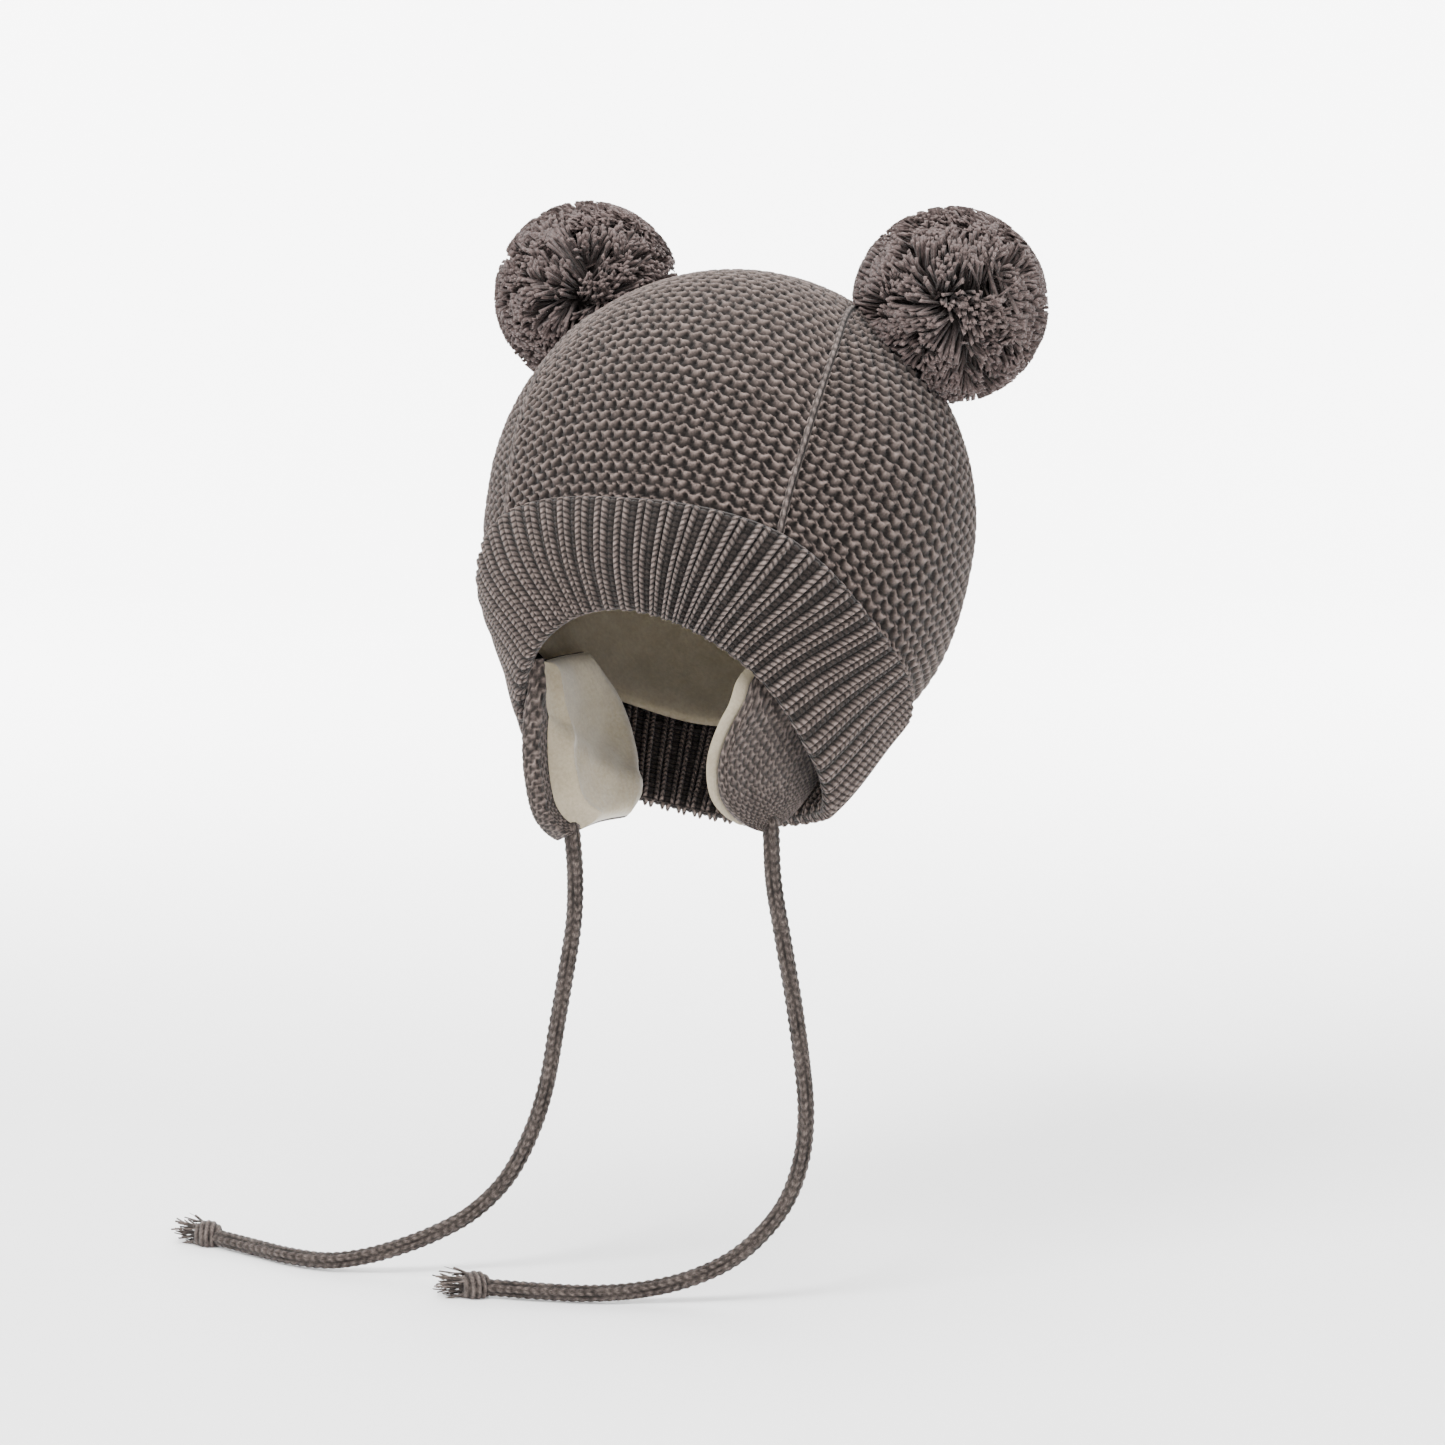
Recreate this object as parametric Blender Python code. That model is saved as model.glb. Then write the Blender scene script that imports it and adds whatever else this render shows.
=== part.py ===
"""Baby hat with ears: a knitted hat with pompom ears, ribbed cuff, fleece lining, ear flaps and ties.

The hat is held as a head holds it, tilted back a little. The origin is where the head bears on the inside
top of the lining. Metres, +Z up, the face looks along -Y and the wearer's left is +X.
"""

import math
import random
from bisect import bisect_right
from collections import namedtuple

import bmesh
import bpy
from mathutils import Matrix, Vector

# Head form: the crown's outer surface, measured from the head centre
HALF_WIDTH = 0.078
FRONT_DEPTH = 0.071
BACK_DEPTH = 0.086
CROWN_RISE = 0.0785
NAPE_REACH = 0.113
HAT_TILT = math.radians(22)

# Walls and clearances
KNIT_WALL = 0.0028
FLEECE_WALL = 0.0022
CLEARANCE = 0.0003
LINING_EASE = 0.0009

# Crown panels and the linked seams between them
SEAM_DIAMETER = 0.0022
SEAM_PROUD = 0.0002
SEAM_COVERED = 0.014
PANEL_TIP = 0.95

# Turned-up cuff
CUFF_WALL = 0.0036
CUFF_EASE = 0.0008
RIB_COUNT = 62
RIB_RELIEF = 0.0010
CROWN_TUCK = 0.235
CUFF_INNER_TOP = 0.310
CUFF_FACE_IN = 0.10
LINING_TUCK = 0.345
LINING_WAVE = 0.018
LINING_WAVES = 9

# Ear flaps
FLAP_WALL = 0.0026
FLAP_PAD = 0.0028
FLAP_EDGE_TURN = 0.0035
FLAP_BOW = 0.085
FLAP_EASE = 0.0010
FLAP_FREE_AFTER = math.radians(2.0)
FLAP_FREEING = 0.09
FLAP_PAD_TOP = 0.12
FLAP_PAD_FOOT = 0.66
FLAP_PAD_INSET = 0.0095
FLAP_PAD_EASE = 0.0008
FLAP_SLOPE_STEP = 0.02

# Pompoms
POMPOM_RADIUS = 0.0312
POMPOM_CORE = 0.76
POMPOM_REACH = 0.098
POMPOM_ANGLE = math.radians(42)
POMPOM_RAGGED = 0.035
POMPOM_SEAT = 0.0005
POMPOM_SEED = 7
POMPOM_PROBES = 60
LOCK_WAIST = 0.10
LOCK_TIP = 0.38
LOCK_BELLY = 0.92
SEAM_BERTH = 0.005

# Ties
TIE_DIAMETER = 0.0058
TIE_POINT_SPACING = 0.015
KNOT_LENGTH = 0.0115
KNOT_WIDTH = 0.0100
KNOT_SEAT = 0.85
FRAY_LENGTH = 0.0085
FRAY_SHORTEST = 0.6
FRAY_CAP = 0.62
FRAY_WAIST = 0.15
FRAY_TIP = 0.55
FRAY_SEED = 3

# Fullness of the form by polar angle from the crown's top, as shares of its ellipsoid radius
FormRow = namedtuple("FormRow", "polar side front back")
FORM_ROWS = (
    FormRow(0, 1.000, 1.00, 1.00),
    FormRow(90, 1.000, 1.00, 1.00),
    FormRow(115, 0.985, 0.98, 1.00),
    FormRow(135, 0.915, 0.83, 0.91),
    FormRow(155, 0.925, 0.83, 0.94),
    FormRow(180, 0.925, 0.83, 0.94),
)

# By azimuth from the front: polar angle of the cuff's upper edge and of its lower fold, and how far a rib
# that starts there leans forward on its way down to the fold
CuffRow = namedtuple("CuffRow", "azimuth edge fold lean")
CUFF_ROWS = (
    CuffRow(0, 102.5, 130.0, 0.0),
    CuffRow(40, 105.0, 136.5, 13.5),
    CuffRow(75, 119.0, 147.0, 20.0),
    CuffRow(110, 127.0, 152.5, 11.0),
    CuffRow(145, 128.0, 151.0, 1.0),
    CuffRow(180, 126.0, 151.0, 0.0),
)

# Angle of the seams out from the middle plane, by the angle away from the crown's top to front and back
SeamRow = namedtuple("SeamRow", "away out")
SEAM_ROWS = (
    SeamRow(0, 28.0),
    SeamRow(15, 31.0),
    SeamRow(45, 39.5),
    SeamRow(76, 42.5),
    SeamRow(105, 40.0),
    SeamRow(130, 34.5),
    SeamRow(150, 28.0),
)

# Cuff section from the upper edge round the fold and back: share of the height, place in the wall
# (0 at the crown's outer face, 1 at the cuff's outer face, -1 at the crown's inner face), rib share
CuffPoint = namedtuple("CuffPoint", "height wall rib")
CUFF_SECTION = (
    CuffPoint(0.000, 0.62, 0.5),
    CuffPoint(0.045, 0.98, 1.0),
    CuffPoint(0.500, 1.00, 1.0),
    CuffPoint(0.930, 0.90, 1.0),
    CuffPoint(1.000, -0.10, 0.0),
    CuffPoint(0.950, -1.00, -0.4),
    CuffPoint(0.600, -1.00, -0.4),
    CuffPoint(CUFF_INNER_TOP, -1.00, -0.2),
    CuffPoint(CUFF_INNER_TOP, 0.00, 0.0),
    CuffPoint(0.900, CUFF_FACE_IN / 2, 0.0),
    CuffPoint(CUFF_INNER_TOP, CUFF_FACE_IN, 0.0),
    CuffPoint(0.030, CUFF_FACE_IN, 0.0),
)

# Flap outlines below the head centre: drop as a share of the flap's reach, its front and back edges
# out from the middle as shares of HALF_WIDTH and ahead of it as shares of FRONT_DEPTH
FlapRow = namedtuple("FlapRow", "drop front_out front_ahead back_out back_ahead")
RIGHT_FLAP_REACH = 0.1030
RIGHT_FLAP_ROWS = (
    FlapRow(0.47, 0.57, 0.80, 0.66, 0.20),
    FlapRow(0.58, 0.54, 0.77, 0.60, 0.08),
    FlapRow(0.70, 0.54, 0.77, 0.53, -0.06),
    FlapRow(0.82, 0.54, 0.76, 0.46, -0.13),
    FlapRow(0.91, 0.52, 0.72, 0.42, -0.07),
    FlapRow(0.97, 0.49, 0.66, 0.42, 0.10),
    FlapRow(1.00, 0.47, 0.58, 0.44, 0.36),
)
LEFT_FLAP_REACH = 0.0930
LEFT_FLAP_ROWS = (
    FlapRow(0.49, 0.53, 0.83, 0.70, 0.01),
    FlapRow(0.60, 0.45, 0.86, 0.62, -0.03),
    FlapRow(0.73, 0.39, 0.88, 0.54, -0.03),
    FlapRow(0.85, 0.38, 0.86, 0.46, 0.00),
    FlapRow(0.93, 0.40, 0.79, 0.44, 0.10),
    FlapRow(0.98, 0.42, 0.70, 0.44, 0.27),
    FlapRow(1.00, 0.44, 0.62, 0.45, 0.45),
)

# Routes of the ties, chosen by hand, from the flap's tip to the knot, measured from the head centre
RIGHT_TIE_ROUTE = (
    (-0.0363, -0.0382, -0.1013),
    (-0.0356, -0.0378, -0.1141),
    (-0.0360, -0.0380, -0.1292),
    (-0.0383, -0.0392, -0.1463),
    (-0.0410, -0.0406, -0.1638),
    (-0.0442, -0.0421, -0.1835),
    (-0.0488, -0.0446, -0.2000),
    (-0.0560, -0.0482, -0.2150),
    (-0.0658, -0.0532, -0.2262),
    (-0.0768, -0.0588, -0.2333),
    (-0.0885, -0.0645, -0.2385),
    (-0.0998, -0.0690, -0.2420),
    (-0.1107, -0.0720, -0.2437),
    (-0.1245, -0.0722, -0.2439),
    (-0.1415, -0.0688, -0.2439),
    (-0.1590, -0.0655, -0.2436),
)
LEFT_TIE_ROUTE = (
    (0.0350, -0.0385, -0.0937),
    (0.0357, -0.0381, -0.1100),
    (0.0384, -0.0368, -0.1284),
    (0.0416, -0.0352, -0.1493),
    (0.0441, -0.0339, -0.1703),
    (0.0450, -0.0334, -0.1846),
    (0.0440, -0.0340, -0.1985),
    (0.0402, -0.0360, -0.2120),
    (0.0335, -0.0392, -0.2230),
    (0.0240, -0.0438, -0.2325),
    (0.0120, -0.0495, -0.2390),
    (-0.0015, -0.0562, -0.2427),
    (-0.0161, -0.0638, -0.2439),
    (-0.0315, -0.0690, -0.2439),
    (-0.0500, -0.0740, -0.2436),
)

# How far a knot's vertices move along the tie, as shares of their lock's length, and how far they spread
FrayStage = namedtuple("FrayStage", "along spread")
FRAY_STAGES = {
    "knot": FrayStage(0.0, 1.0),
    "waist": FrayStage(0.5, 1.1),
    "tip": FrayStage(1.0, 1.5),
}

# Mesh fineness
PANEL_CELL = 0.0100
LINING_SEGMENTS = 24
LINING_RINGS = 8
FLAP_ACROSS = 8
TIE_ROUNDNESS = 2
SEAM_ROUNDNESS = 1
ROUTE_STEPS = 16
BISECTIONS = 40
WELD = 1e-6

Finish = namedtuple("Finish", "color roughness")
FINISHES = {
    "crown_knit": Finish((0.155, 0.130, 0.115, 1), 0.92),
    "seam_yarn": Finish((0.210, 0.180, 0.160, 1), 0.90),
    "cuff_rib": Finish((0.145, 0.120, 0.105, 1), 0.92),
    "fleece": Finish((0.620, 0.580, 0.500, 1), 0.95),
    "flap_knit": Finish((0.150, 0.125, 0.110, 1), 0.92),
    "pompom_yarn": Finish((0.135, 0.108, 0.100, 1), 0.90),
    "tie_yarn": Finish((0.160, 0.132, 0.115, 1), 0.90),
}


def clear_scene():
    for obj in list(bpy.data.objects):
        bpy.data.objects.remove(obj, do_unlink=True)


def smooth_value(places, values, place):
    """Read a smooth curve through values at places, level at both ends."""
    place = min(max(place, places[0]), places[-1])
    i = min(bisect_right(places, place) - 1, len(places) - 2)

    def slope(k):
        if k in (0, len(places) - 1):
            return 0.0
        return (values[k + 1] - values[k - 1]) / (places[k + 1] - places[k - 1])

    span = places[i + 1] - places[i]
    t = (place - places[i]) / span
    rise = values[i + 1] - values[i]
    start, end = slope(i) * span, slope(i + 1) * span
    return values[i] + t * start + t * t * (3 * rise - 2 * start - end) + t ** 3 * (start + end - 2 * rise)


def column(rows, name):
    return [getattr(row, name) for row in rows]


def form_radius(direction):
    """Radius of the crown's outer surface along a unit direction in the hat's own frame."""
    polar = math.degrees(math.acos(max(-1.0, min(1.0, direction.z))))
    places = column(FORM_ROWS, "polar")
    end = "front" if direction.y <= 0 else "back"
    depth = FRONT_DEPTH if direction.y <= 0 else BACK_DEPTH
    half_width = HALF_WIDTH * smooth_value(places, column(FORM_ROWS, "side"), polar)
    depth *= smooth_value(places, column(FORM_ROWS, end), polar)
    height = CROWN_RISE if direction.z >= 0 else NAPE_REACH
    return 1.0 / math.hypot(direction.x / half_width, direction.y / depth, direction.z / height)


def tilt_back(point):
    """Turn a point of the hat's own frame into the room's frame."""
    return Matrix.Rotation(-HAT_TILT, 3, "X") @ point


def stand_up(point):
    return Matrix.Rotation(HAT_TILT, 3, "X") @ point


def on_form(direction, inward=0.0):
    """Point on the form, or inside it by a depth, seen from the head centre."""
    direction = direction.normalized()
    return tilt_back(direction * (form_radius(direction) - inward))


def polar_direction(azimuth, polar):
    outward = math.sin(polar)
    return Vector((outward * math.sin(azimuth), -outward * math.cos(azimuth), math.cos(polar)))


def cuff_angle(name, azimuth):
    turn = abs((math.degrees(azimuth) + 180) % 360 - 180)
    return math.radians(smooth_value(column(CUFF_ROWS, "azimuth"), column(CUFF_ROWS, name), turn))


def cuff_direction(around, height):
    """Direction of a point of the cuff: around is its rib's azimuth at the upper edge, height runs from
    0 at the upper edge to 1 at the fold, and the ribs lean forward down the sides."""
    lean = math.copysign(cuff_angle("lean", around), math.sin(around))
    azimuth = around - lean * height
    edge = cuff_angle("edge", around)
    fold = cuff_angle("fold", around - lean)
    return polar_direction(azimuth, edge + (fold - edge) * height)


def seam_angle(over):
    """Angle of a seam out from the middle plane, by the angle over the crown from front to back."""
    away = abs(math.degrees(over) - 90)
    return math.radians(smooth_value(column(SEAM_ROWS, "away"), column(SEAM_ROWS, "out"), away))


def over_direction(over, out):
    """Direction by the angle over the crown, 0 at the front and pi at the back, and out to the side."""
    return Vector((math.sin(out), -math.cos(out) * math.cos(over), math.cos(out) * math.sin(over)))


def over_angles(direction):
    over = math.atan2(direction.z, -direction.y)
    if over < -math.pi / 2:
        over += 2 * math.pi
    return over, math.asin(direction.x)


def last_place(low, high, holds):
    """Last place between low and high up to which a condition holds."""
    for _ in range(BISECTIONS):
        middle = (low + high) / 2
        if holds(middle):
            low = middle
        else:
            high = middle
    return low


def crown_foot(share, back):
    """Lower edge of the center panel at a share across it, from -1 to 1: the angle over the crown."""
    def foot_angles(around):
        return over_angles(cuff_direction(math.pi - around if back else around, CROWN_TUCK))

    def within_share(around):
        over, out = foot_angles(around)
        return out < abs(share) * seam_angle(over)

    return foot_angles(last_place(0.0, math.pi / 2, within_share))[0]


def seam_foot(back):
    return crown_foot(1.0, back)


def slot_angle():
    """Half of the slot that a seam lies in, as an angle at the head centre."""
    return (SEAM_DIAMETER / 2 + CLEARANCE) / HALF_WIDTH


def center_panel_direction(across, along):
    start, end = crown_foot(across, False), crown_foot(across, True)
    over = start + (end - start) * along
    return over_direction(over, across * (seam_angle(over) - slot_angle()))


def side_panel_direction(side, across, along):
    """Direction on a side panel: across runs from the front seam to the back one, along from the cuff up."""
    def seam_point(back, share):
        foot = seam_foot(back)
        over = foot + (math.pi / 2 - foot) * share
        return over_direction(over, seam_angle(over) + slot_angle())

    def around_at(back):
        def short_of_seam(around):
            over, out = over_angles(cuff_direction(around, CROWN_TUCK))
            return (out > seam_angle(over) + slot_angle()) == back

        start = math.pi / 2 if back else 0.0
        return last_place(start, start + math.pi / 2, short_of_seam)

    first, last = around_at(False), around_at(True)
    foot = cuff_direction(first + (last - first) * across, CROWN_TUCK)
    foot_front, foot_back = cuff_direction(first, CROWN_TUCK), cuff_direction(last, CROWN_TUCK)
    bulge = foot - foot_front.lerp(foot_back, across)
    row = seam_point(False, along).lerp(seam_point(True, along), across)
    direction = (row + bulge * (1 - along)).normalized()
    direction.x *= side
    return direction


def finish_material(name):
    material = bpy.data.materials.new(name)
    material.use_nodes = True
    shader = material.node_tree.nodes["Principled BSDF"]
    shader.inputs["Base Color"].default_value = FINISHES[name].color
    shader.inputs["Roughness"].default_value = FINISHES[name].roughness
    shader.inputs["Metallic"].default_value = 0.0
    return material


def head_centre():
    """Place of the head centre: straight under the origin, where the head bears on the lining."""
    up = stand_up(Vector((0, 0, 1)))
    seat = form_radius(up) - KNIT_WALL - LINING_EASE - FLEECE_WALL
    return Vector((0, 0, -seat))


def mapped_grid(columns, rows, place):
    """Grid of quads whose corners are placed by a function of two shares from 0 to 1."""
    bm = bmesh.new()
    bmesh.ops.create_grid(bm, x_segments=columns, y_segments=rows, size=0.5)
    for vert in bm.verts:
        vert.co = place(vert.co.x + 0.5, vert.co.y + 0.5)
    return bm


def face_away(bm, centre):
    """Turn an open sheet's faces away from a point."""
    bm.normal_update()
    lean = sum((face.calc_center_median() - centre).dot(face.normal) for face in bm.faces)
    if lean < 0:
        bmesh.ops.reverse_faces(bm, faces=bm.faces)


def add_wall(obj, thickness):
    """Give an open sheet its wall, grown inwards from the sheet."""
    wall = obj.modifiers.new("wall", "SOLIDIFY")
    wall.thickness = thickness
    wall.offset = -1.0
    wall.use_even_offset = True
    wall.use_quality_normals = True


def place_mesh(name, bm, finish, wall=0.0, inside=Vector((0, 0, 0))):
    """Link a form round the head centre. A sheet faces away from a point inside and takes a wall."""
    bmesh.ops.remove_doubles(bm, verts=bm.verts, dist=WELD)
    bmesh.ops.recalc_face_normals(bm, faces=bm.faces)
    if wall:
        face_away(bm, inside)
    mesh = bpy.data.meshes.new(name)
    bm.to_mesh(mesh)
    bm.free()
    mesh.shade_smooth()
    mesh.materials.append(finish_material(finish))
    obj = bpy.data.objects.new(name, mesh)
    obj.location = head_centre()
    bpy.context.collection.objects.link(obj)
    if wall:
        add_wall(obj, wall)


def build_crown():
    across = round(2 * HALF_WIDTH * seam_angle(0.0) / PANEL_CELL)
    along = round((seam_foot(True) - seam_foot(False)) * CROWN_RISE / PANEL_CELL)
    bm = mapped_grid(across, along, lambda u, v: on_form(center_panel_direction(2 * u - 1, v)))
    place_mesh("crown_center_panel", bm, "crown_knit", KNIT_WALL)

    rows = round(CROWN_RISE * (math.pi / 2 - seam_angle(math.pi / 2)) / PANEL_CELL)
    for side, name in ((-1, "crown_side_right"), (1, "crown_side_left")):
        def place(u, v, side=side):
            return on_form(side_panel_direction(side, u, v * PANEL_TIP))
        place_mesh(name, mapped_grid(rows + 3, rows, place), "crown_knit", KNIT_WALL)


def add_cord(name, points, diameter, roundness, finish):
    """Round cord through the points, with closed ends."""
    data = bpy.data.curves.new(name, "CURVE")
    data.dimensions = "3D"
    data.bevel_depth = diameter / 2
    data.bevel_resolution = roundness
    data.use_fill_caps = True
    data.twist_mode = "MINIMUM"
    spline = data.splines.new("POLY")
    spline.points.add(len(points) - 1)
    for spot, point in zip(spline.points, points):
        spot.co = (*point, 1.0)
    spline.use_smooth = True
    data.materials.append(finish_material(finish))
    obj = bpy.data.objects.new(name, data)
    obj.location = head_centre()
    bpy.context.collection.objects.link(obj)


def build_seams():
    """Linked seams in the slots between the panels, from the front cuff over the top to the back cuff,
    sunk flush where the cuff covers them."""
    start, end = seam_foot(False), seam_foot(True)
    steps = round((end - start) * CROWN_RISE / PANEL_CELL)
    covered = math.ceil(SEAM_COVERED / PANEL_CELL)
    for side, name in ((-1, "crown_seam_right"), (1, "crown_seam_left")):
        points = []
        for k in range(steps + 1):
            over = start + (end - start) * k / steps
            direction = over_direction(over, seam_angle(over))
            direction.x *= side
            in_cuff = min(k, steps - k) < covered
            points.append(on_form(direction, SEAM_DIAMETER / 2 if in_cuff else -SEAM_PROUD))
        add_cord(name, points, SEAM_DIAMETER, SEAM_ROUNDNESS, "seam_yarn")


def build_cuff():
    """Ribbed band folded up on itself; its inner leg stands under the crown's lower edge."""
    sections = 2 * RIB_COUNT
    points = len(CUFF_SECTION)

    def place(u, v):
        rib = 0.5 if round(u * sections) % 2 == 0 else -0.5
        spot = CUFF_SECTION[round(v * points) % points]
        direction = cuff_direction(2 * math.pi * u, spot.height)
        if spot.wall >= 0:
            into_wall = max(0.0, spot.wall - CUFF_FACE_IN) / (1 - CUFF_FACE_IN)
            out = CUFF_EASE * min(1.0, spot.wall / CUFF_FACE_IN) + CUFF_WALL * into_wall
        else:
            out = KNIT_WALL * spot.wall
        return on_form(direction, -(out + RIB_RELIEF * rib * spot.rib))

    place_mesh("ribbed_cuff", mapped_grid(sections, points, place), "cuff_rib")


def build_lining():
    """Fleece cup inside the crown; its lower edge waves a little under the cuff's inner leg."""
    bm = bmesh.new()
    bmesh.ops.create_uvsphere(bm, u_segments=LINING_SEGMENTS, v_segments=2 * LINING_RINGS, radius=1.0)
    lower = [vert for vert in bm.verts if vert.co.z < -WELD]
    bmesh.ops.delete(bm, geom=lower, context="VERTS")
    depth = KNIT_WALL + LINING_EASE
    for vert in bm.verts:
        share = math.acos(max(-1.0, min(1.0, vert.co.z))) / (math.pi / 2)
        around = math.atan2(vert.co.x, -vert.co.y)
        edge = LINING_TUCK + LINING_WAVE * math.sin(LINING_WAVES * around)
        foot = cuff_direction(around, edge)
        foot_azimuth = math.atan2(foot.x, -foot.y)
        turn = (foot_azimuth - around + math.pi) % (2 * math.pi) - math.pi
        direction = polar_direction(around + turn * share, math.acos(foot.z) * share)
        vert.co = on_form(direction, depth)
    place_mesh("crown_lining", bm, "fleece", FLEECE_WALL)


def flap_sheet(side, reach, rows, across, down):
    """Point on a flap's outer face, by shares across it from front to back and down it."""
    places = [k / (len(rows) - 1) for k in range(len(rows))]

    def value(name):
        return smooth_value(places, column(rows, name), down)

    front = Vector((value("front_out") * HALF_WIDTH, -value("front_ahead") * FRONT_DEPTH, 0.0))
    back = Vector((value("back_out") * HALF_WIDTH, -value("back_ahead") * FRONT_DEPTH, 0.0))
    point = front.lerp(back, across)
    bow = FLAP_BOW * (back - front).length * (1 - (2 * across - 1) ** 2)
    point = Vector((side * (point.x + bow), point.y, -value("drop") * reach))
    own = stand_up(point)
    direction = own.normalized()
    past_fold = math.acos(direction.z) - cuff_angle("fold", math.atan2(direction.x, -direction.y))
    freed = max(0.0, past_fold - FLAP_FREE_AFTER) * FLAP_FREEING
    limit = form_radius(direction) - KNIT_WALL - FLAP_EASE + freed
    if own.length > limit:
        own = own * (limit / own.length)
    return tilt_back(own)


def flap_inward(side, reach, rows, across, down):
    """Unit normal of a flap's sheet, towards the head."""
    a0, a1 = max(across - FLAP_SLOPE_STEP, 0.0), min(across + FLAP_SLOPE_STEP, 1.0)
    d0, d1 = max(down - FLAP_SLOPE_STEP, 0.0), min(down + FLAP_SLOPE_STEP, 1.0)
    run = flap_sheet(side, reach, rows, a1, down) - flap_sheet(side, reach, rows, a0, down)
    fall = flap_sheet(side, reach, rows, across, d1) - flap_sheet(side, reach, rows, across, d0)
    normal = run.cross(fall).normalized()
    return normal if normal.x * side < 0 else -normal


def build_flap(side, name, reach, rows):
    """Knit face whose front, back and lower edges turn in, and the fleece pad that lies in it."""
    down_cells = len(rows) + 1

    def knit(u, v):
        down = 1.0 - v
        turn = max(0.0, 1.0 - min(u, 1 - u) * FLAP_ACROSS, 1.0 - v * down_cells)
        return (flap_sheet(side, reach, rows, u, down)
                + flap_inward(side, reach, rows, u, down) * FLAP_EDGE_TURN * turn)

    def pad(u, v):
        down = FLAP_PAD_TOP + (FLAP_PAD_FOOT - FLAP_PAD_TOP) * (1.0 - v)
        front, back = flap_sheet(side, reach, rows, 0.0, down), flap_sheet(side, reach, rows, 1.0, down)
        inset = FLAP_PAD_INSET / (back - front).length
        across = inset + (1 - 2 * inset) * u
        return (flap_sheet(side, reach, rows, across, down)
                + flap_inward(side, reach, rows, across, down) * (FLAP_WALL + FLAP_PAD_EASE))

    centre = Vector((0, -FRONT_DEPTH / 3, -reach * 0.7))
    face, fleece = mapped_grid(FLAP_ACROSS, down_cells, knit), mapped_grid(FLAP_ACROSS - 2, down_cells, pad)
    place_mesh("ear_flap_" + name, face, "flap_knit", FLAP_WALL, centre)
    place_mesh("flap_fleece_" + name, fleece, "fleece", FLAP_PAD, centre)


def crown_top(direction):
    """Height of the crown along a direction, with the seam that stands proud of it."""
    over, out = over_angles(Vector((abs(direction.x), direction.y, direction.z)))
    beside_seam = abs(out - seam_angle(over)) * HALF_WIDTH < SEAM_BERTH
    return form_radius(direction) + (SEAM_DIAMETER / 2 + SEAM_PROUD if beside_seam else 0.0)


def reach_to_crown(centre, ray):
    """How far a ray from a pompom's centre runs before it meets the crown, at most past its radius."""
    step = POMPOM_RADIUS / POMPOM_PROBES
    length = 0.0
    while length < POMPOM_RADIUS * (1 + POMPOM_RAGGED):
        spot = centre + ray * (length + step)
        if spot.length < crown_top(spot.normalized()) + POMPOM_SEAT:
            break
        length += step
    return length


def grow_locks(bm, faces, waist, tip):
    """Grow a lock from each face in two lengths; returns each new vertex with its lock's face direction.
    waist and tip are shares by which a lock narrows towards its middle."""
    placed = {}
    for narrowing, stage in ((waist, "waist"), (tip, "tip")):
        faces = bmesh.ops.extrude_discrete_faces(bm, faces=faces)["faces"]
        for number, face in enumerate(faces):
            middle = face.calc_center_median()
            for vert in face.verts:
                vert.co = vert.co.lerp(middle, narrowing)
                placed[vert] = (stage, number)
    return placed


def build_pompom(side, name):
    """Ball of cut yarn as locks on a core; the locks that meet the crown are pressed to it."""
    centre = polar_direction(side * math.pi / 2, POMPOM_ANGLE) * POMPOM_REACH
    shuffle = random.Random(POMPOM_SEED)
    bm = bmesh.new()
    bmesh.ops.create_icosphere(bm, subdivisions=2, radius=1.0)
    ragged = [1 + POMPOM_RAGGED * shuffle.uniform(-1, 1) for _ in bm.faces]
    placed = grow_locks(bm, list(bm.faces), LOCK_WAIST, LOCK_TIP)
    for vert in bm.verts:
        ray = vert.co.normalized()
        ray.x *= side
        reach = reach_to_crown(centre, ray)
        stage, number = placed.get(vert, ("core", 0))
        if stage == "tip":
            length = min(POMPOM_RADIUS * ragged[number], reach)
        elif stage == "waist":
            length = min(POMPOM_RADIUS, reach) * LOCK_BELLY
        else:
            length = min(POMPOM_RADIUS, reach) * POMPOM_CORE
        vert.co = tilt_back(centre + ray * length)
    place_mesh("pompom_" + name, bm, "pompom_yarn")


def smooth_route(points, spacing):
    """Points at an even spacing along a smooth curve through the chosen points of a route."""
    points = [Vector(point) for point in points]
    before = points[0] * 2 - points[1]
    after = points[-1] * 2 - points[-2]
    guide = [before] + points + [after]
    fine = []
    for k in range(1, len(guide) - 2):
        p0, p1, p2, p3 = guide[k - 1:k + 3]
        for step in range(ROUTE_STEPS):
            t = step / ROUTE_STEPS
            fine.append(0.5 * (2 * p1 + (p2 - p0) * t + (2 * p0 - 5 * p1 + 4 * p2 - p3) * t * t
                               + (3 * p1 - p0 - 3 * p2 + p3) * t ** 3))
    fine.append(points[-1])
    lengths = [0.0]
    for a, b in zip(fine, fine[1:]):
        lengths.append(lengths[-1] + (b - a).length)
    count = max(2, round(lengths[-1] / spacing))
    even = []
    for k in range(count + 1):
        goal = lengths[-1] * k / count
        i = min(bisect_right(lengths, goal) - 1, len(fine) - 2)
        share = (goal - lengths[i]) / (lengths[i + 1] - lengths[i])
        even.append(fine[i].lerp(fine[i + 1], share))
    return even


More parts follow.
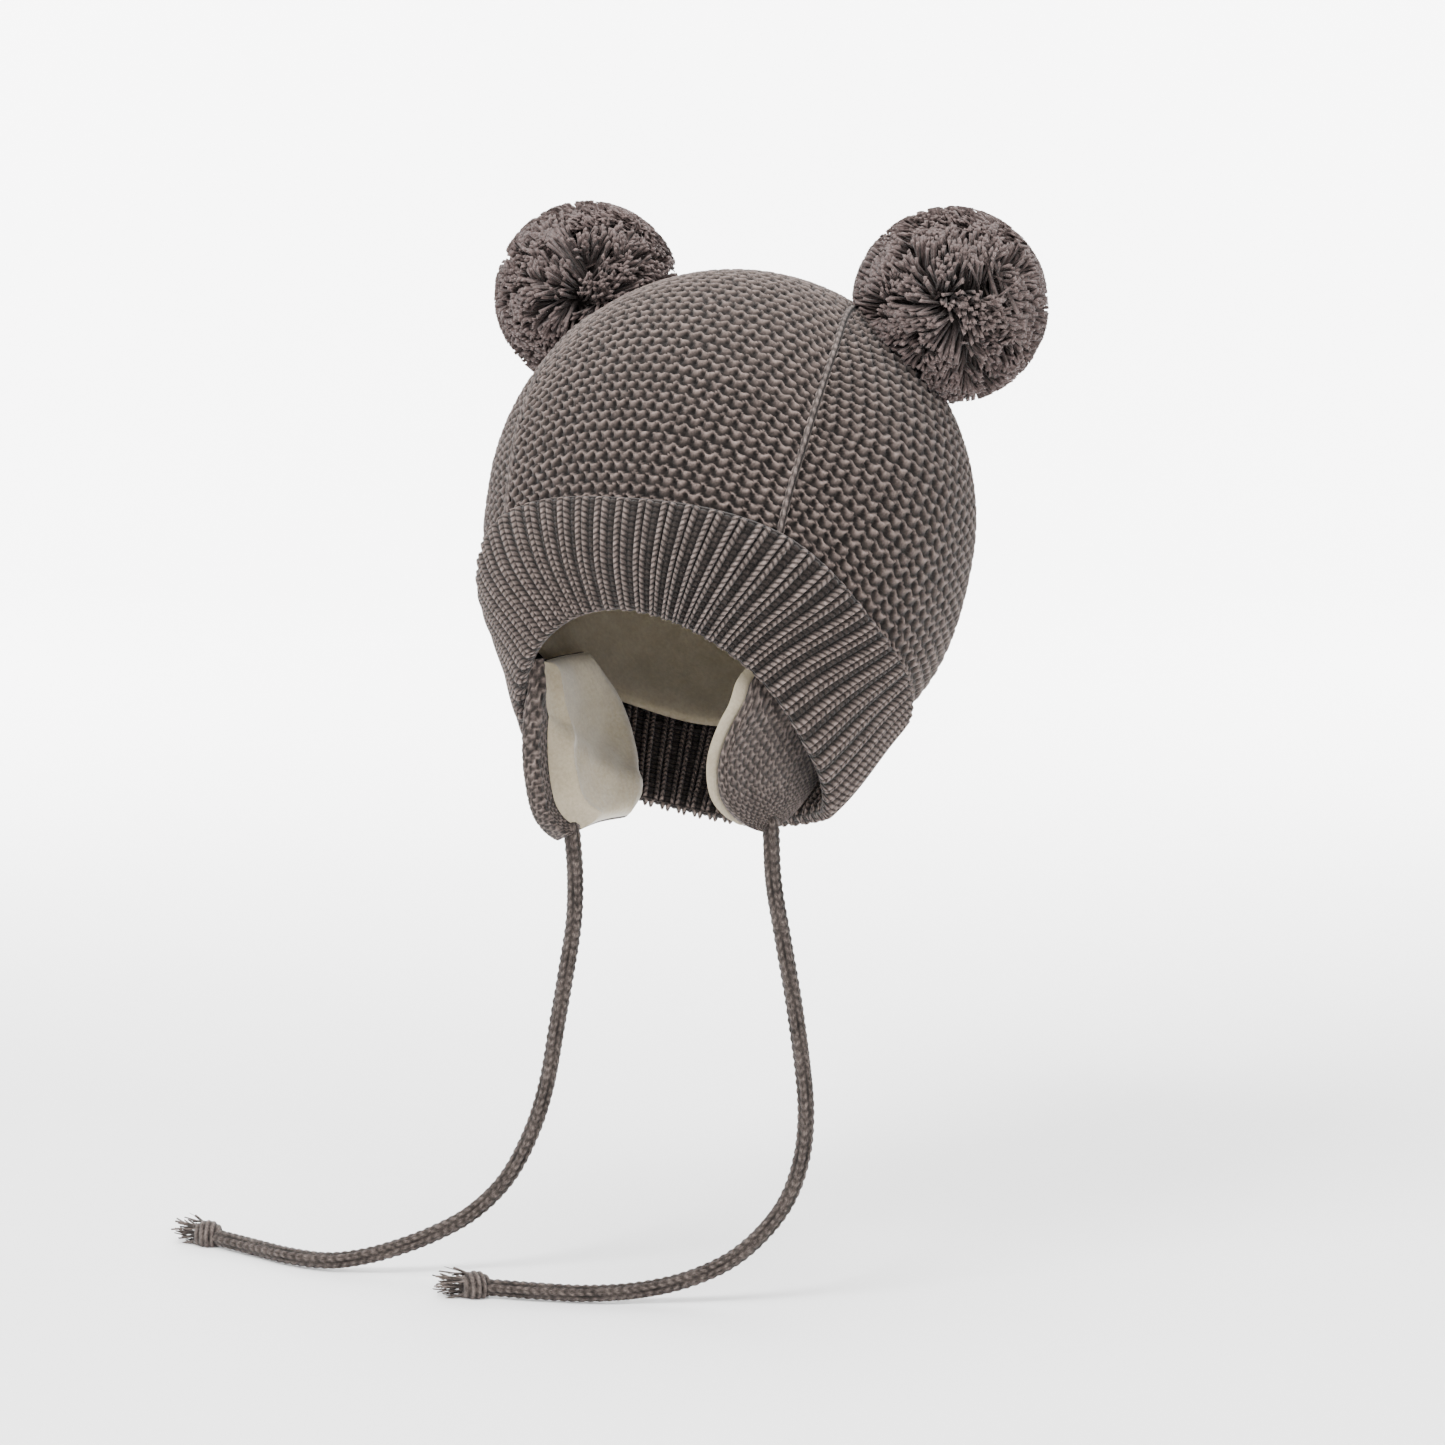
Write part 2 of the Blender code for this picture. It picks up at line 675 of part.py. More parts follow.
def build_tie(name, route):
    """Knitted round cord from the flap's tip to its knot, and the knot with its frayed yarn ends."""
    points = smooth_route(route, TIE_POINT_SPACING)
    add_cord("tie_" + name, points, TIE_DIAMETER, TIE_ROUNDNESS, "tie_yarn")

    rest = min(point[2] for point in route) - TIE_DIAMETER / 2
    heading = (points[-1] - points[-2]).normalized()
    turn = heading.to_track_quat("X", "Z").to_matrix()
    bm = bmesh.new()
    bmesh.ops.create_icosphere(bm, subdivisions=2, radius=1.0)
    far = [face for face in bm.faces if face.calc_center_median().x > FRAY_CAP]
    shuffle = random.Random(FRAY_SEED)
    lengths = [FRAY_LENGTH * shuffle.uniform(FRAY_SHORTEST, 1.0) for _ in far]
    placed = grow_locks(bm, far, FRAY_WAIST, FRAY_TIP)
    knot = Vector((KNOT_LENGTH / 2, KNOT_WIDTH / 2, KNOT_WIDTH / 2))
    flat = knot.x * KNOT_SEAT
    middle = points[-1] + heading * (flat + CLEARANCE)
    for vert in bm.verts:
        stage, number = placed.get(vert, ("knot", 0))
        fray = FRAY_STAGES[stage]
        along = max(vert.co.x * knot.x, -flat) + lengths[number] * fray.along
        own = Vector((along, vert.co.y * knot.y * fray.spread, vert.co.z * knot.z * fray.spread))
        vert.co = middle + turn @ own
        vert.co.z = max(vert.co.z, rest)
    place_mesh("tie_knot_" + name, bm, "tie_yarn")


clear_scene()
build_crown()
build_seams()
build_cuff()
build_lining()
build_flap(-1, "right", RIGHT_FLAP_REACH, RIGHT_FLAP_ROWS)
build_flap(1, "left", LEFT_FLAP_REACH, LEFT_FLAP_ROWS)
build_pompom(-1, "right")
build_pompom(1, "left")
build_tie("right", RIGHT_TIE_ROUTE)
build_tie("left", LEFT_TIE_ROUTE)
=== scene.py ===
"""Looks of the baby hat with ears: its stitches, fleece, cut yarn and cords, on a pale floor.

Metres, +Z up. The hat keeps the shape that a head gives it. The face looks along -Y, the wearer's left is +X.
"""

import math
import random

import bmesh
import bpy
import numpy as np
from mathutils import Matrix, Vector


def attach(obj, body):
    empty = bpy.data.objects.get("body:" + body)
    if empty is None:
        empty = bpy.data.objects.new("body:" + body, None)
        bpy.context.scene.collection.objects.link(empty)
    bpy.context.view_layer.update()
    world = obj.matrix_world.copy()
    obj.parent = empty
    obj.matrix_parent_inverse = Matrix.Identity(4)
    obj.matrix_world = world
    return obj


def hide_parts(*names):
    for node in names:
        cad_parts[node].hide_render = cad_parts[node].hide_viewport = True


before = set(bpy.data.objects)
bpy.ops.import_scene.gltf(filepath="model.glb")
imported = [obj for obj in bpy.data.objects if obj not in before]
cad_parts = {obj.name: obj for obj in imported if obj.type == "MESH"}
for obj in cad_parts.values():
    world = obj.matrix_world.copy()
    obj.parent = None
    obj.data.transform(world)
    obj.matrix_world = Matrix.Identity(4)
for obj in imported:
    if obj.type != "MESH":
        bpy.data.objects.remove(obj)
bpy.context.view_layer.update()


# Camera: a long lens in front of the hat and to the wearer's left, a little above its middle.
# It is placed from the head centre, the middle of the ball that the crown is stretched over.
HEAD_CENTRE = Vector((0, 0, -0.0714))
VIEW_AZIMUTH = math.radians(27)
VIEW_ELEVATION = math.radians(9)
VIEW_DISTANCE = 1.290
VIEW_RIGHT = -0.00145
VIEW_UP = -0.0667
VIEW_LENS = 100
VIEW_SENSOR = 36

view_back = Vector((
    math.sin(VIEW_AZIMUTH) * math.cos(VIEW_ELEVATION),
    -math.cos(VIEW_AZIMUTH) * math.cos(VIEW_ELEVATION),
    math.sin(VIEW_ELEVATION),
))
view_right = Vector((math.cos(VIEW_AZIMUTH), math.sin(VIEW_AZIMUTH), 0))
camera = bpy.data.objects.new("camera", bpy.data.cameras.new("camera"))
camera.data.lens = VIEW_LENS
camera.data.sensor_width = VIEW_SENSOR
camera.location = (
    HEAD_CENTRE + view_right * VIEW_RIGHT + view_back.cross(view_right) * VIEW_UP + view_back * VIEW_DISTANCE
)
camera.rotation_euler = view_back.to_track_quat("Z", "Y").to_euler()
bpy.context.scene.collection.objects.link(camera)
bpy.context.scene.camera = camera


# Ties: two round cords knitted in marled wool, about 6 mm thick, sewn into the tips of the flaps.
# Columns of small V stitches run down them. They hang, bend on the floor and end in a knot.
TIE_DIAMETER = 0.0058
# Points along the middle of each cord, from the head centre
TIE_ROUTES = {
    "right": (
        (-0.0363, -0.0382, -0.1013),
        (-0.0356, -0.0378, -0.1141),
        (-0.0360, -0.0380, -0.1292),
        (-0.0383, -0.0392, -0.1463),
        (-0.0410, -0.0406, -0.1638),
        (-0.0442, -0.0421, -0.1835),
        (-0.0488, -0.0446, -0.2000),
        (-0.0560, -0.0482, -0.2150),
        (-0.0658, -0.0532, -0.2262),
        (-0.0768, -0.0588, -0.2333),
        (-0.0885, -0.0645, -0.2385),
        (-0.0998, -0.0690, -0.2420),
        (-0.1107, -0.0720, -0.2437),
        (-0.1245, -0.0722, -0.2439),
        (-0.1415, -0.0688, -0.2439),
        (-0.1590, -0.0655, -0.2436),
    ),
    "left": (
        (0.0350, -0.0385, -0.0937),
        (0.0357, -0.0381, -0.1100),
        (0.0384, -0.0368, -0.1284),
        (0.0416, -0.0352, -0.1493),
        (0.0441, -0.0339, -0.1703),
        (0.0450, -0.0334, -0.1846),
        (0.0440, -0.0340, -0.1985),
        (0.0402, -0.0360, -0.2120),
        (0.0335, -0.0392, -0.2230),
        (0.0240, -0.0438, -0.2325),
        (0.0120, -0.0495, -0.2390),
        (-0.0015, -0.0562, -0.2427),
        (-0.0161, -0.0638, -0.2439),
        (-0.0315, -0.0690, -0.2439),
        (-0.0500, -0.0740, -0.2436),
    ),
}
ROUTE_STEPS = 16
TIE_AROUND = 30
TIE_CELL = 0.00055
TIE_COLUMNS = 5
TIE_STITCH = 0.0029
TIE_RELIEF = 0.0009
TIE_TURNS = 0.35
TIE_SEWN = 9
V_SLANT = 1.1
V_RELIEF = 0.45
CREASE_WIDTH = 0.07
CREASE_DEPTH = 0.35
# A direction that no cord starts along
CORD_ASIDE = (0.31, 0.95, 0.1)
PLY_STRETCH = (9.0, 2.2, 1.0)
PARTING_LIFT = 1.6
WELD = 1e-6


def smooth_route(points, spacing):
    """Points at an even spacing along a smooth curve through the chosen points of a route."""
    points = np.array(points, float)
    guide = np.vstack([2 * points[0] - points[1], points, 2 * points[-1] - points[-2]])
    fine = []
    t = (np.arange(ROUTE_STEPS) / ROUTE_STEPS)[:, None]
    for p0, p1, p2, p3 in zip(guide, guide[1:], guide[2:], guide[3:]):
        bend = (2 * p0 - 5 * p1 + 4 * p2 - p3) * t * t + (3 * p1 - p0 - 3 * p2 + p3) * t ** 3
        fine.append(0.5 * (2 * p1 + (p2 - p0) * t + bend))
    fine = np.vstack(fine + [points[-1:]])
    lengths = np.concatenate([[0], np.cumsum(np.linalg.norm(np.diff(fine, axis=0), axis=1))])
    even = np.linspace(0, lengths[-1], max(2, round(lengths[-1] / spacing)) + 1)
    return np.stack([np.interp(even, lengths, fine[:, k]) for k in range(3)], axis=1)


def unit(vectors):
    """Vectors of the same directions, each 1 long."""
    return vectors / np.linalg.norm(vectors, axis=-1, keepdims=True)


def cord_sides(line):
    """Two directions square to a centreline at each of its points, turning as little as they can."""
    ahead = unit(np.gradient(line, axis=0))
    side = np.zeros_like(line)
    side[0] = unit(np.cross(ahead[0], CORD_ASIDE))
    for k in range(1, len(line)):
        side[k] = unit(side[k - 1] - ahead[k] * side[k - 1].dot(ahead[k]))
    return side, np.cross(ahead, side)


def quarter_round(share):
    """Height of a quarter circle, 0 to 1, at shares of its radius in from its edge. It stays 1 past them."""
    return np.sqrt(1 - np.clip(1 - share, 0, 1) ** 2)


def mapped_grid(columns, rows, place, bm=None):
    """Grid of quads whose corners are placed by a function of two shares from 0 to 1. The function also
    gives how high each corner stands in its stitch, how it lies along the yarn, and its phase there."""
    bm = bm or bmesh.new()
    # The crest layer holds that height; the wool paints light and shade from it.
    crest = bm.verts.layers.float.get("crest") or bm.verts.layers.float.new("crest")
    lay = bm.verts.layers.float_vector.get("lay") or bm.verts.layers.float_vector.new("lay")
    made = bmesh.ops.create_grid(bm, x_segments=columns, y_segments=rows, size=0.5)["verts"]
    shares = np.array([vert.co[:2] for vert in made]) + 0.5
    points, crests, across, along, phase = place(shares[:, 0], shares[:, 1])
    for vert, point, height, a, b, c in zip(made, points, crests, across, along, phase):
        vert.co = point
        vert[crest] = max(height, 0)
        vert[lay] = (a, b, c)
    return bm


def knit_column(across, stitch):
    """Height of a column of V stitches, 0 to 1: across runs from -0.5 to 0.5 over the column's width."""
    leg = 0.5 + 0.5 * np.cos(2 * np.pi * (stitch + V_SLANT * np.abs(across)))
    swell = np.sqrt(np.clip(1 - (2 * np.abs(across)) ** 3, 0, 1))
    crease = np.exp(-((across / CREASE_WIDTH) ** 2))
    return swell * (1 - V_RELIEF * (1 - leg)) * (1 - CREASE_DEPTH * crease)


def knitted_cord(line, diameter, around, columns, stitch, relief, turns):
    """Round knitted cord along a line, with closed rounded ends."""
    side, up = cord_sides(line)
    steps = len(line) - 1
    lengths = np.concatenate([[0], np.cumsum(np.linalg.norm(np.diff(line, axis=0), axis=1))])
    radius = diameter / 2

    def place(u, v):
        k = np.round(v * steps).astype(int)
        column = (u + turns * lengths[k] / lengths[-1]) * columns
        across = column - np.floor(column) - 0.5
        offset = 0.5 * (np.floor(column) % 2)
        height = knit_column(across, lengths[k] / stitch + offset)
        to_end = np.minimum(lengths[k], lengths[-1] - lengths[k])
        reach = (radius - relief * (1 - height)) * quarter_round(to_end / radius)
        angle = 2 * np.pi * u
        out = side[k] * (np.cos(angle) * reach)[:, None] + up[k] * (np.sin(angle) * reach)[:, None]
        # The stitch height is also the crest that paints the wool: painted shade in the crease down each
        # column and between the stitches, a painted highlight on their tops.
        return line[k] + out + np.array(HEAD_CENTRE), height, across * 2, lengths[k] / stitch, 0 * across

    return mapped_grid(around, steps, place)


def new_material(name, surface):
    """Material whose shader has the given values on its inputs."""
    material = bpy.data.materials.new(name)
    material.use_nodes = True
    for socket, value in surface.items():
        material.node_tree.nodes["Principled BSDF"].inputs[socket].default_value = value
    return material


def add_node(material, kind, output, inputs, **settings):
    """Output of a new node, whose inputs each get a value or a link from another node's output."""
    node = material.node_tree.nodes.new("ShaderNode" + kind)
    for name, value in settings.items():
        setattr(node, name, value)
    for name, value in inputs.items():
        if isinstance(value, bpy.types.NodeSocket):
            material.node_tree.links.new(value, node.inputs[name])
        else:
            node.inputs[name].default_value = value
    return node.outputs[output]


def finish_cloth(material, color, height, strength, depth):
    """Give a material its colour and its fine relief."""
    shader = material.node_tree.nodes["Principled BSDF"]
    relief = {"Height": height, "Strength": strength, "Distance": depth}
    material.node_tree.links.new(add_node(material, "Bump", "Normal", relief), shader.inputs["Normal"])
    material.node_tree.links.new(color, shader.inputs["Base Color"])


def wool(name, lit_crest_tone, shaded_pit_tone, shade_contrast=2.2, marl=0.0, dark_marl=(0, 0, 0), stitches=0.0):
    """Matte wool, uneven from fibre to fibre, with light and shade painted from its crest height: a painted
    highlight on the crests and painted shade down in the pits. Marl mixes in a second, darker ply of the
    yarn's own; stitches parts the yarn where the phase of the knit passes from one to the next, with painted
    shade in the gap."""
    surface = {"Roughness": 0.95, "Specular IOR Level": 0.15, "Sheen Weight": 0.1, "Sheen Roughness": 0.5}
    material = new_material(name, surface)
    crest = add_node(material, "Attribute", "Fac", {}, attribute_name="crest")
    lay = add_node(material, "Attribute", "Vector", {}, attribute_name="lay")
    place = add_node(material, "TexCoord", "Object", {})

    # Painted shade where one stitch passes into the next: the gap is darkened in colour and also sunk in the
    # bump.
    phase = add_node(material, "SeparateXYZ", "Z", {"Vector": lay})
    swing = add_node(material, "Math", "Value", {0: phase, 1: 2 * math.pi}, operation="MULTIPLY")
    wave = add_node(material, "Math", "Value", {0: swing}, operation="COSINE")
    parting_range = {"Value": wave, "From Min": -1.0, "From Max": 0.4, "To Min": 1.0 - stitches}
    gap_shade_and_bump = add_node(material, "MapRange", "Result", parting_range)
    # Painted light: the crest height, raised to a power, runs from the painted pit shade to the lit crest
    # tone with its painted highlight.
    painted_light = add_node(material, "Math", "Value", {0: crest, 1: shade_contrast}, operation="POWER", use_clamp=True)
    knit = add_node(material, "Math", "Value", {0: painted_light, 1: gap_shade_and_bump}, operation="MULTIPLY")
    tones = {"Factor": knit, "A": (*shaded_pit_tone, 1), "B": (*lit_crest_tone, 1)}
    depth = add_node(material, "Mix", "Result", tones, data_type="RGBA")

    stretch = add_node(material, "VectorMath", "Vector", {0: lay, 1: PLY_STRETCH}, operation="MULTIPLY")
    plies = add_node(material, "TexNoise", "Fac", {"Vector": stretch, "Scale": 1.0, "Detail": 2.0})
    ply_range = {"Value": plies, "From Min": 0.50, "From Max": 0.60, "To Max": marl}
    second_ply = add_node(material, "MapRange", "Result", ply_range)
    tones = {"Factor": second_ply, "A": depth, "B": (*dark_marl, 1)}
    marled = add_node(material, "Mix", "Result", tones, data_type="RGBA")

    fibre_size = {"Vector": place, "Scale": 1300.0, "Detail": 4.0, "Roughness": 0.7}
    fibres = add_node(material, "TexNoise", "Fac", fibre_size)
    blotches = add_node(material, "TexNoise", "Fac", {"Vector": place, "Scale": 420.0, "Detail": 2.0})
    uneven = add_node(material, "Math", "Value", {0: fibres, 1: blotches}, operation="ADD")
    bright_range = {"Value": uneven, "From Min": 0.68, "From Max": 1.32, "To Min": 0.42, "To Max": 1.58}
    bright = add_node(material, "MapRange", "Result", bright_range)
    tint = add_node(material, "HueSaturation", "Color", {"Value": bright, "Color": marled})
    lifted = {0: gap_shade_and_bump, 1: PARTING_LIFT, 2: uneven}
    height = add_node(material, "Math", "Value", lifted, operation="MULTIPLY_ADD")
    finish_cloth(material, tint, height, 0.8, 0.0004)
    return material


def place_piece(name, bm, material, slot, *nodes):
    """Weld a finished form, give it its material and let it stand for the part's own solids."""
    bmesh.ops.remove_doubles(bm, verts=bm.verts, dist=WELD)
    bmesh.ops.recalc_face_normals(bm, faces=bm.faces)
    mesh = bpy.data.meshes.new(name)
    bm.to_mesh(mesh)
    bm.free()
    mesh.shade_smooth()
    mesh.materials.append(material)
    obj = bpy.data.objects.new(name, mesh)
    bpy.context.scene.collection.objects.link(obj)
    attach(obj, "root")
    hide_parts(*nodes)
    return obj


# Lit crest tone with a painted highlight, painted shade for the pits, and a darker marl ply of the yarn's
# own.
tie_wool = wool(
    "tie_wool", (0.120, 0.096, 0.085), (0.006, 0.0045, 0.004), shade_contrast=2, marl=0.8,
    dark_marl=(0.018, 0.014, 0.012),
)
tie_lines = {}
for side_name, route in TIE_ROUTES.items():
    line = smooth_route(route, TIE_CELL)
    tie_lines[side_name] = line
    sewn = line[0] + (line[0] - line[1]) * np.arange(TIE_SEWN, 0, -1)[:, None]
    line = np.vstack([sewn, line])
    cord = knitted_cord(line, TIE_DIAMETER, TIE_AROUND, TIE_COLUMNS, TIE_STITCH, TIE_RELIEF, TIE_TURNS)
    place_piece("cord_" + side_name, cord, tie_wool, "tie_yarn", "tie_" + side_name)


# Tie knots: the end of each cord is tied in an overhand knot, and its yarn ends stick out in a short
# frayed tuft. The knot is turns of cord lying aslant; the tuft is loose plies of the same wool.
KNOT_LENGTH = 0.0115
KNOT_WIDTH = 0.0100
KNOT_SEAT = 0.85
KNOT_TAKES_IN = 0.0022
KNOT_WRAPS = 2.6
KNOT_ALONG = 0.9
KNOT_ASLANT = 0.55
KNOT_FULLNESS = 0.6
KNOT_RELIEF = 0.0011
KNOT_CELLS = (48, 30)
FRAY_LENGTH = 0.0085
FRAY_SHORTEST = 0.55
FRAY_ENDS = 46
FRAY_CAP = 0.45
FRAY_RADIUS = 0.00045
FRAY_STRAY = 0.35
FRAY_OUTWARD = 0.25
FRAY_STEP = 0.35
FRAY_STAGES = (0.35, 0.7, 1.0)


def knot_mesh(line):
    """Knot with slanting turns on the end of a cord, seated flat against it."""
    heading = unit(line[-1] - line[-4])
    level = unit(np.cross((0, 0, 1), heading))
    rise = np.cross(heading, level)
    flat = KNOT_LENGTH / 2 * KNOT_SEAT
    middle = line[-1] + heading * (flat - KNOT_TAKES_IN) + np.array(HEAD_CENTRE)
    rest = line[:, 2].min() - TIE_DIAMETER / 2 + HEAD_CENTRE.z

    def place(u, v):
        angle, lift = 2 * np.pi * u, np.pi * (v - 0.5)
        own = np.stack([np.sin(lift), np.cos(lift) * np.cos(angle), np.cos(lift) * np.sin(angle)], axis=1)
        turn = KNOT_WRAPS * (KNOT_ALONG * own[:, 0] + KNOT_ASLANT * own[:, 1])
        wrap = np.abs(np.cos(np.pi * turn)) ** KNOT_FULLNESS
        size = np.array([KNOT_LENGTH, KNOT_WIDTH, KNOT_WIDTH]) / 2
        own = own * (size - KNOT_RELIEF * (1 - wrap)[:, None])
        own[:, 0] = np.maximum(own[:, 0], -flat)
        points = middle + own[:, :1] * heading + own[:, 1:2] * level + own[:, 2:] * rise
        points[:, 2] = np.maximum(points[:, 2], rest)
        # The turns' height is also the crest: painted shade between the turns, a painted highlight on them.
        return points, wrap, turn * 2, angle * 2, 0 * turn

    def past_cap(face):
        return (np.array(face.calc_center_median()) - middle).dot(heading) > flat * FRAY_CAP

    bm = mapped_grid(*KNOT_CELLS, place)
    bmesh.ops.remove_doubles(bm, verts=bm.verts, dist=WELD)
    bmesh.ops.recalc_face_normals(bm, faces=bm.faces)
    shuffle = random.Random(11)
    crest = bm.verts.layers.float.get("crest")
    tips = [face for face in bm.faces if past_cap(face)]
    tips = shuffle.sample(tips, min(FRAY_ENDS, len(tips)))
    reach = [FRAY_LENGTH * shuffle.uniform(FRAY_SHORTEST, 1.0) for _ in tips]
    spread = [Vector([shuffle.uniform(-FRAY_STRAY, FRAY_STRAY) for _ in range(3)]) for _ in tips]
    for share in FRAY_STAGES:
        tips = bmesh.ops.extrude_discrete_faces(bm, faces=tips)["faces"]
        for face, length, aside in zip(tips, reach, spread):
            centre = face.calc_center_median()
            out = (centre - Vector(middle)).normalized()
            move = (Vector(heading) + out * FRAY_OUTWARD + aside).normalized() * length * FRAY_STEP
            for vert in face.verts:
                away = vert.co - centre
                vert.co = centre + away.normalized() * min(away.length, FRAY_RADIUS) + move
                vert.co.z = max(vert.co.z, rest)
                # Painted shade near the knot; the frayed ends grow paler towards their tips.
                vert[crest] = 0.5 + 0.5 * share
    return bm


for side_name, line in tie_lines.items():
    knot = place_piece("knot_" + side_name, knot_mesh(line), tie_wool, "tie_yarn", "tie_knot_" + side_name)


# Crown centre panel: one piece of garter knit in taupe wool from the brow over the top to the nape.
# Its ridges lie across the head; each stitch arches over a small pit, dark with painted shade.
HALF_WIDTH = 0.078
FRONT_DEPTH = 0.071
BACK_DEPTH = 0.086
CROWN_RISE = 0.0785
NAPE_REACH = 0.113
HAT_TILT = math.radians(22)
# Fullness of the form to the side, in front and behind, at degrees down from its top
FORM_POLAR = (0, 90, 115, 135, 155, 180)
FORM_SIDE = (1.000, 1.000, 0.985, 0.915, 0.925, 0.925)
FORM_FRONT = (1.00, 1.00, 0.98, 0.83, 0.83, 0.83)
FORM_BACK = (1.00, 1.00, 1.00, 0.91, 0.94, 0.94)
# Degrees down from the top of the cuff's upper edge and its fold, and how far a rib leans forward between
# them, at degrees round from the front
CUFF_AZIMUTH = (0, 40, 75, 110, 145, 180)
CUFF_EDGE = (102.5, 105.0, 119.0, 127.0, 128.0, 126.0)
CUFF_FOLD = (130.0, 136.5, 147.0, 152.5, 151.0, 151.0)
CUFF_LEAN = (0.0, 13.5, 20.0, 11.0, 1.0, 0.0)
CROWN_TUCK = 0.235
# Degrees of the seams out to the side, at degrees away from the top over the crown
SEAM_AWAY = (0, 15, 45, 76, 105, 130, 150)
SEAM_OUT = (28.0, 31.0, 39.5, 42.5, 40.0, 34.5, 28.0)
SEAM_SLOT = 0.0011
KNIT_WALL = 0.0028
GARTER_STITCH = 0.0049
GARTER_ROW = 0.0037
GARTER_LEAN = -0.18
GARTER_ARCH = 0.38
GARTER_LEVEL = 0.55
GARTER_RELIEF = 0.0023
SCALLOP_WIDTH = 0.27
SCALLOP_LEVEL = 0.4
EDGE_PLACE = 0.85
EDGE_ROUND = 0.24
EDGE_UNEVEN = 0.04
ROW_SHIFT = 0.06
ROW_FALL = 0.72
ROW_FALL_LENGTH = 0.90
ROW_FALL_CURVE = 1.1
# The pit below each scallop: its place and its size in stitches across and in rows down
PIT_PLACE = (0.10, 0.58)
PIT_SIZE = (0.14, 0.20)
PIT_UNEVEN = 0.15
CHANCES = 257
CROWN_CELL = 0.00068
CELL_STRETCH = 1.12
HALVINGS = 30


def along_curve(places, values, place):
    """Smooth curve through values at places, level at both ends."""
    places, values = np.array(places, float), np.array(values, float)
    slopes = np.zeros_like(values)
    slopes[1:-1] = (values[2:] - values[:-2]) / (places[2:] - places[:-2])
    place = np.clip(place, places[0], places[-1])
    i = np.clip(np.searchsorted(places, place, side="right") - 1, 0, len(places) - 2)
    span, rise = places[i + 1] - places[i], values[i + 1] - values[i]
    t, start, end = (place - places[i]) / span, slopes[i] * span, slopes[i + 1] * span
    return values[i] + t * start + t * t * (3 * rise - 2 * start - end) + t ** 3 * (start + end - 2 * rise)


def form_radius(direction):
    """Radius of the crown's outer surface along unit directions in the hat's own frame."""
    x, y, z = direction.T
    polar = np.degrees(np.arccos(np.clip(z, -1, 1)))
    width = HALF_WIDTH * along_curve(FORM_POLAR, FORM_SIDE, polar)
    front = FRONT_DEPTH * along_curve(FORM_POLAR, FORM_FRONT, polar)
    behind = BACK_DEPTH * along_curve(FORM_POLAR, FORM_BACK, polar)
    depth = np.where(y <= 0, front, behind)
    height = np.where(z >= 0, CROWN_RISE, NAPE_REACH)
    return 1 / np.sqrt((x / width) ** 2 + (y / depth) ** 2 + (z / height) ** 2)


def tilt_back(points, angle=HAT_TILT):
    """Turn points of the hat's own frame back into the room's frame."""
    x, y, z = points.T
    behind = y * math.cos(angle) + z * math.sin(angle)
    above = z * math.cos(angle) - y * math.sin(angle)
    return np.stack([x, behind, above], axis=1)


def on_form(direction, outward):
    """Points on the crown's outer surface, or out from it by a distance."""
    direction = unit(direction)
    return tilt_back(direction * (form_radius(direction) + outward)[:, None]) + np.array(HEAD_CENTRE)


def polar_direction(azimuth, polar):
    """Directions by the angle round from the front and the angle down from the hat's top."""
    level = np.sin(polar)
    return np.stack([level * np.sin(azimuth), -level * np.cos(azimuth), np.cos(polar)], axis=1)


def cuff_angle(values, azimuth):
    """One of the cuff's angles at places round it, the same on both sides."""
    turn = np.abs((np.degrees(azimuth) + 180) % 360 - 180)
    return np.radians(along_curve(CUFF_AZIMUTH, values, turn))


def cuff_direction(around, height):
    """Direction of points of the cuff, by the azimuth of their rib at the upper edge and the share of the
    height from the upper edge to the fold; the ribs lean forward down the sides."""
    lean = cuff_angle(CUFF_LEAN, around) * np.sign(np.sin(around))
    azimuth = around - lean * height
    edge = cuff_angle(CUFF_EDGE, around)
    fold = cuff_angle(CUFF_FOLD, around - lean)
    return polar_direction(azimuth, edge + (fold - edge) * height)


def seam_angle(over):
    """Angle of a seam out to the side, by the angle over the crown."""
    return np.radians(along_curve(SEAM_AWAY, SEAM_OUT, np.abs(np.degrees(over) - 90)))


def over_direction(over, out):
    """Directions by the angle over the crown, 0 at the front and pi at the back, and out to the side."""
    return np.stack([np.sin(out), -np.cos(out) * np.cos(over), np.cos(out) * np.sin(over)], axis=1)


def over_angles(direction):
    """The angle over the crown and the angle out to the side of directions."""
    over = np.arctan2(direction[:, 2], -direction[:, 1])
    return np.where(over < -np.pi / 2, over + 2 * np.pi, over), np.arcsin(direction[:, 0])


def last_place(low, high, holds):
    """Last places between low and high up to which a condition holds."""
    for _ in range(HALVINGS):
        middle = (low + high) / 2
        ok = holds(middle)
        low, high = np.where(ok, middle, low), np.where(ok, high, middle)
    return low


def crown_foot(share, back):
    """Angle over the crown of the centre panel's lower edge, at shares across it from -1 to 1."""
    def foot_angles(around):
        return over_angles(cuff_direction(np.pi - around if back else around, CROWN_TUCK))

    def within_share(around):
        over, out = foot_angles(around)
        return out < np.abs(share) * seam_angle(over)

    zero = np.zeros_like(share)
    return foot_angles(last_place(zero, zero + np.pi / 2, within_share))[0]


wobble = np.random.default_rng(5).normal(0, 1, (CHANCES, CHANCES))


def unevenness(row, stitch, size):
    """Chance value of each stitch, so that no two are alike."""
    return size * wobble[row.astype(int) % CHANCES, stitch.astype(int) % CHANCES]


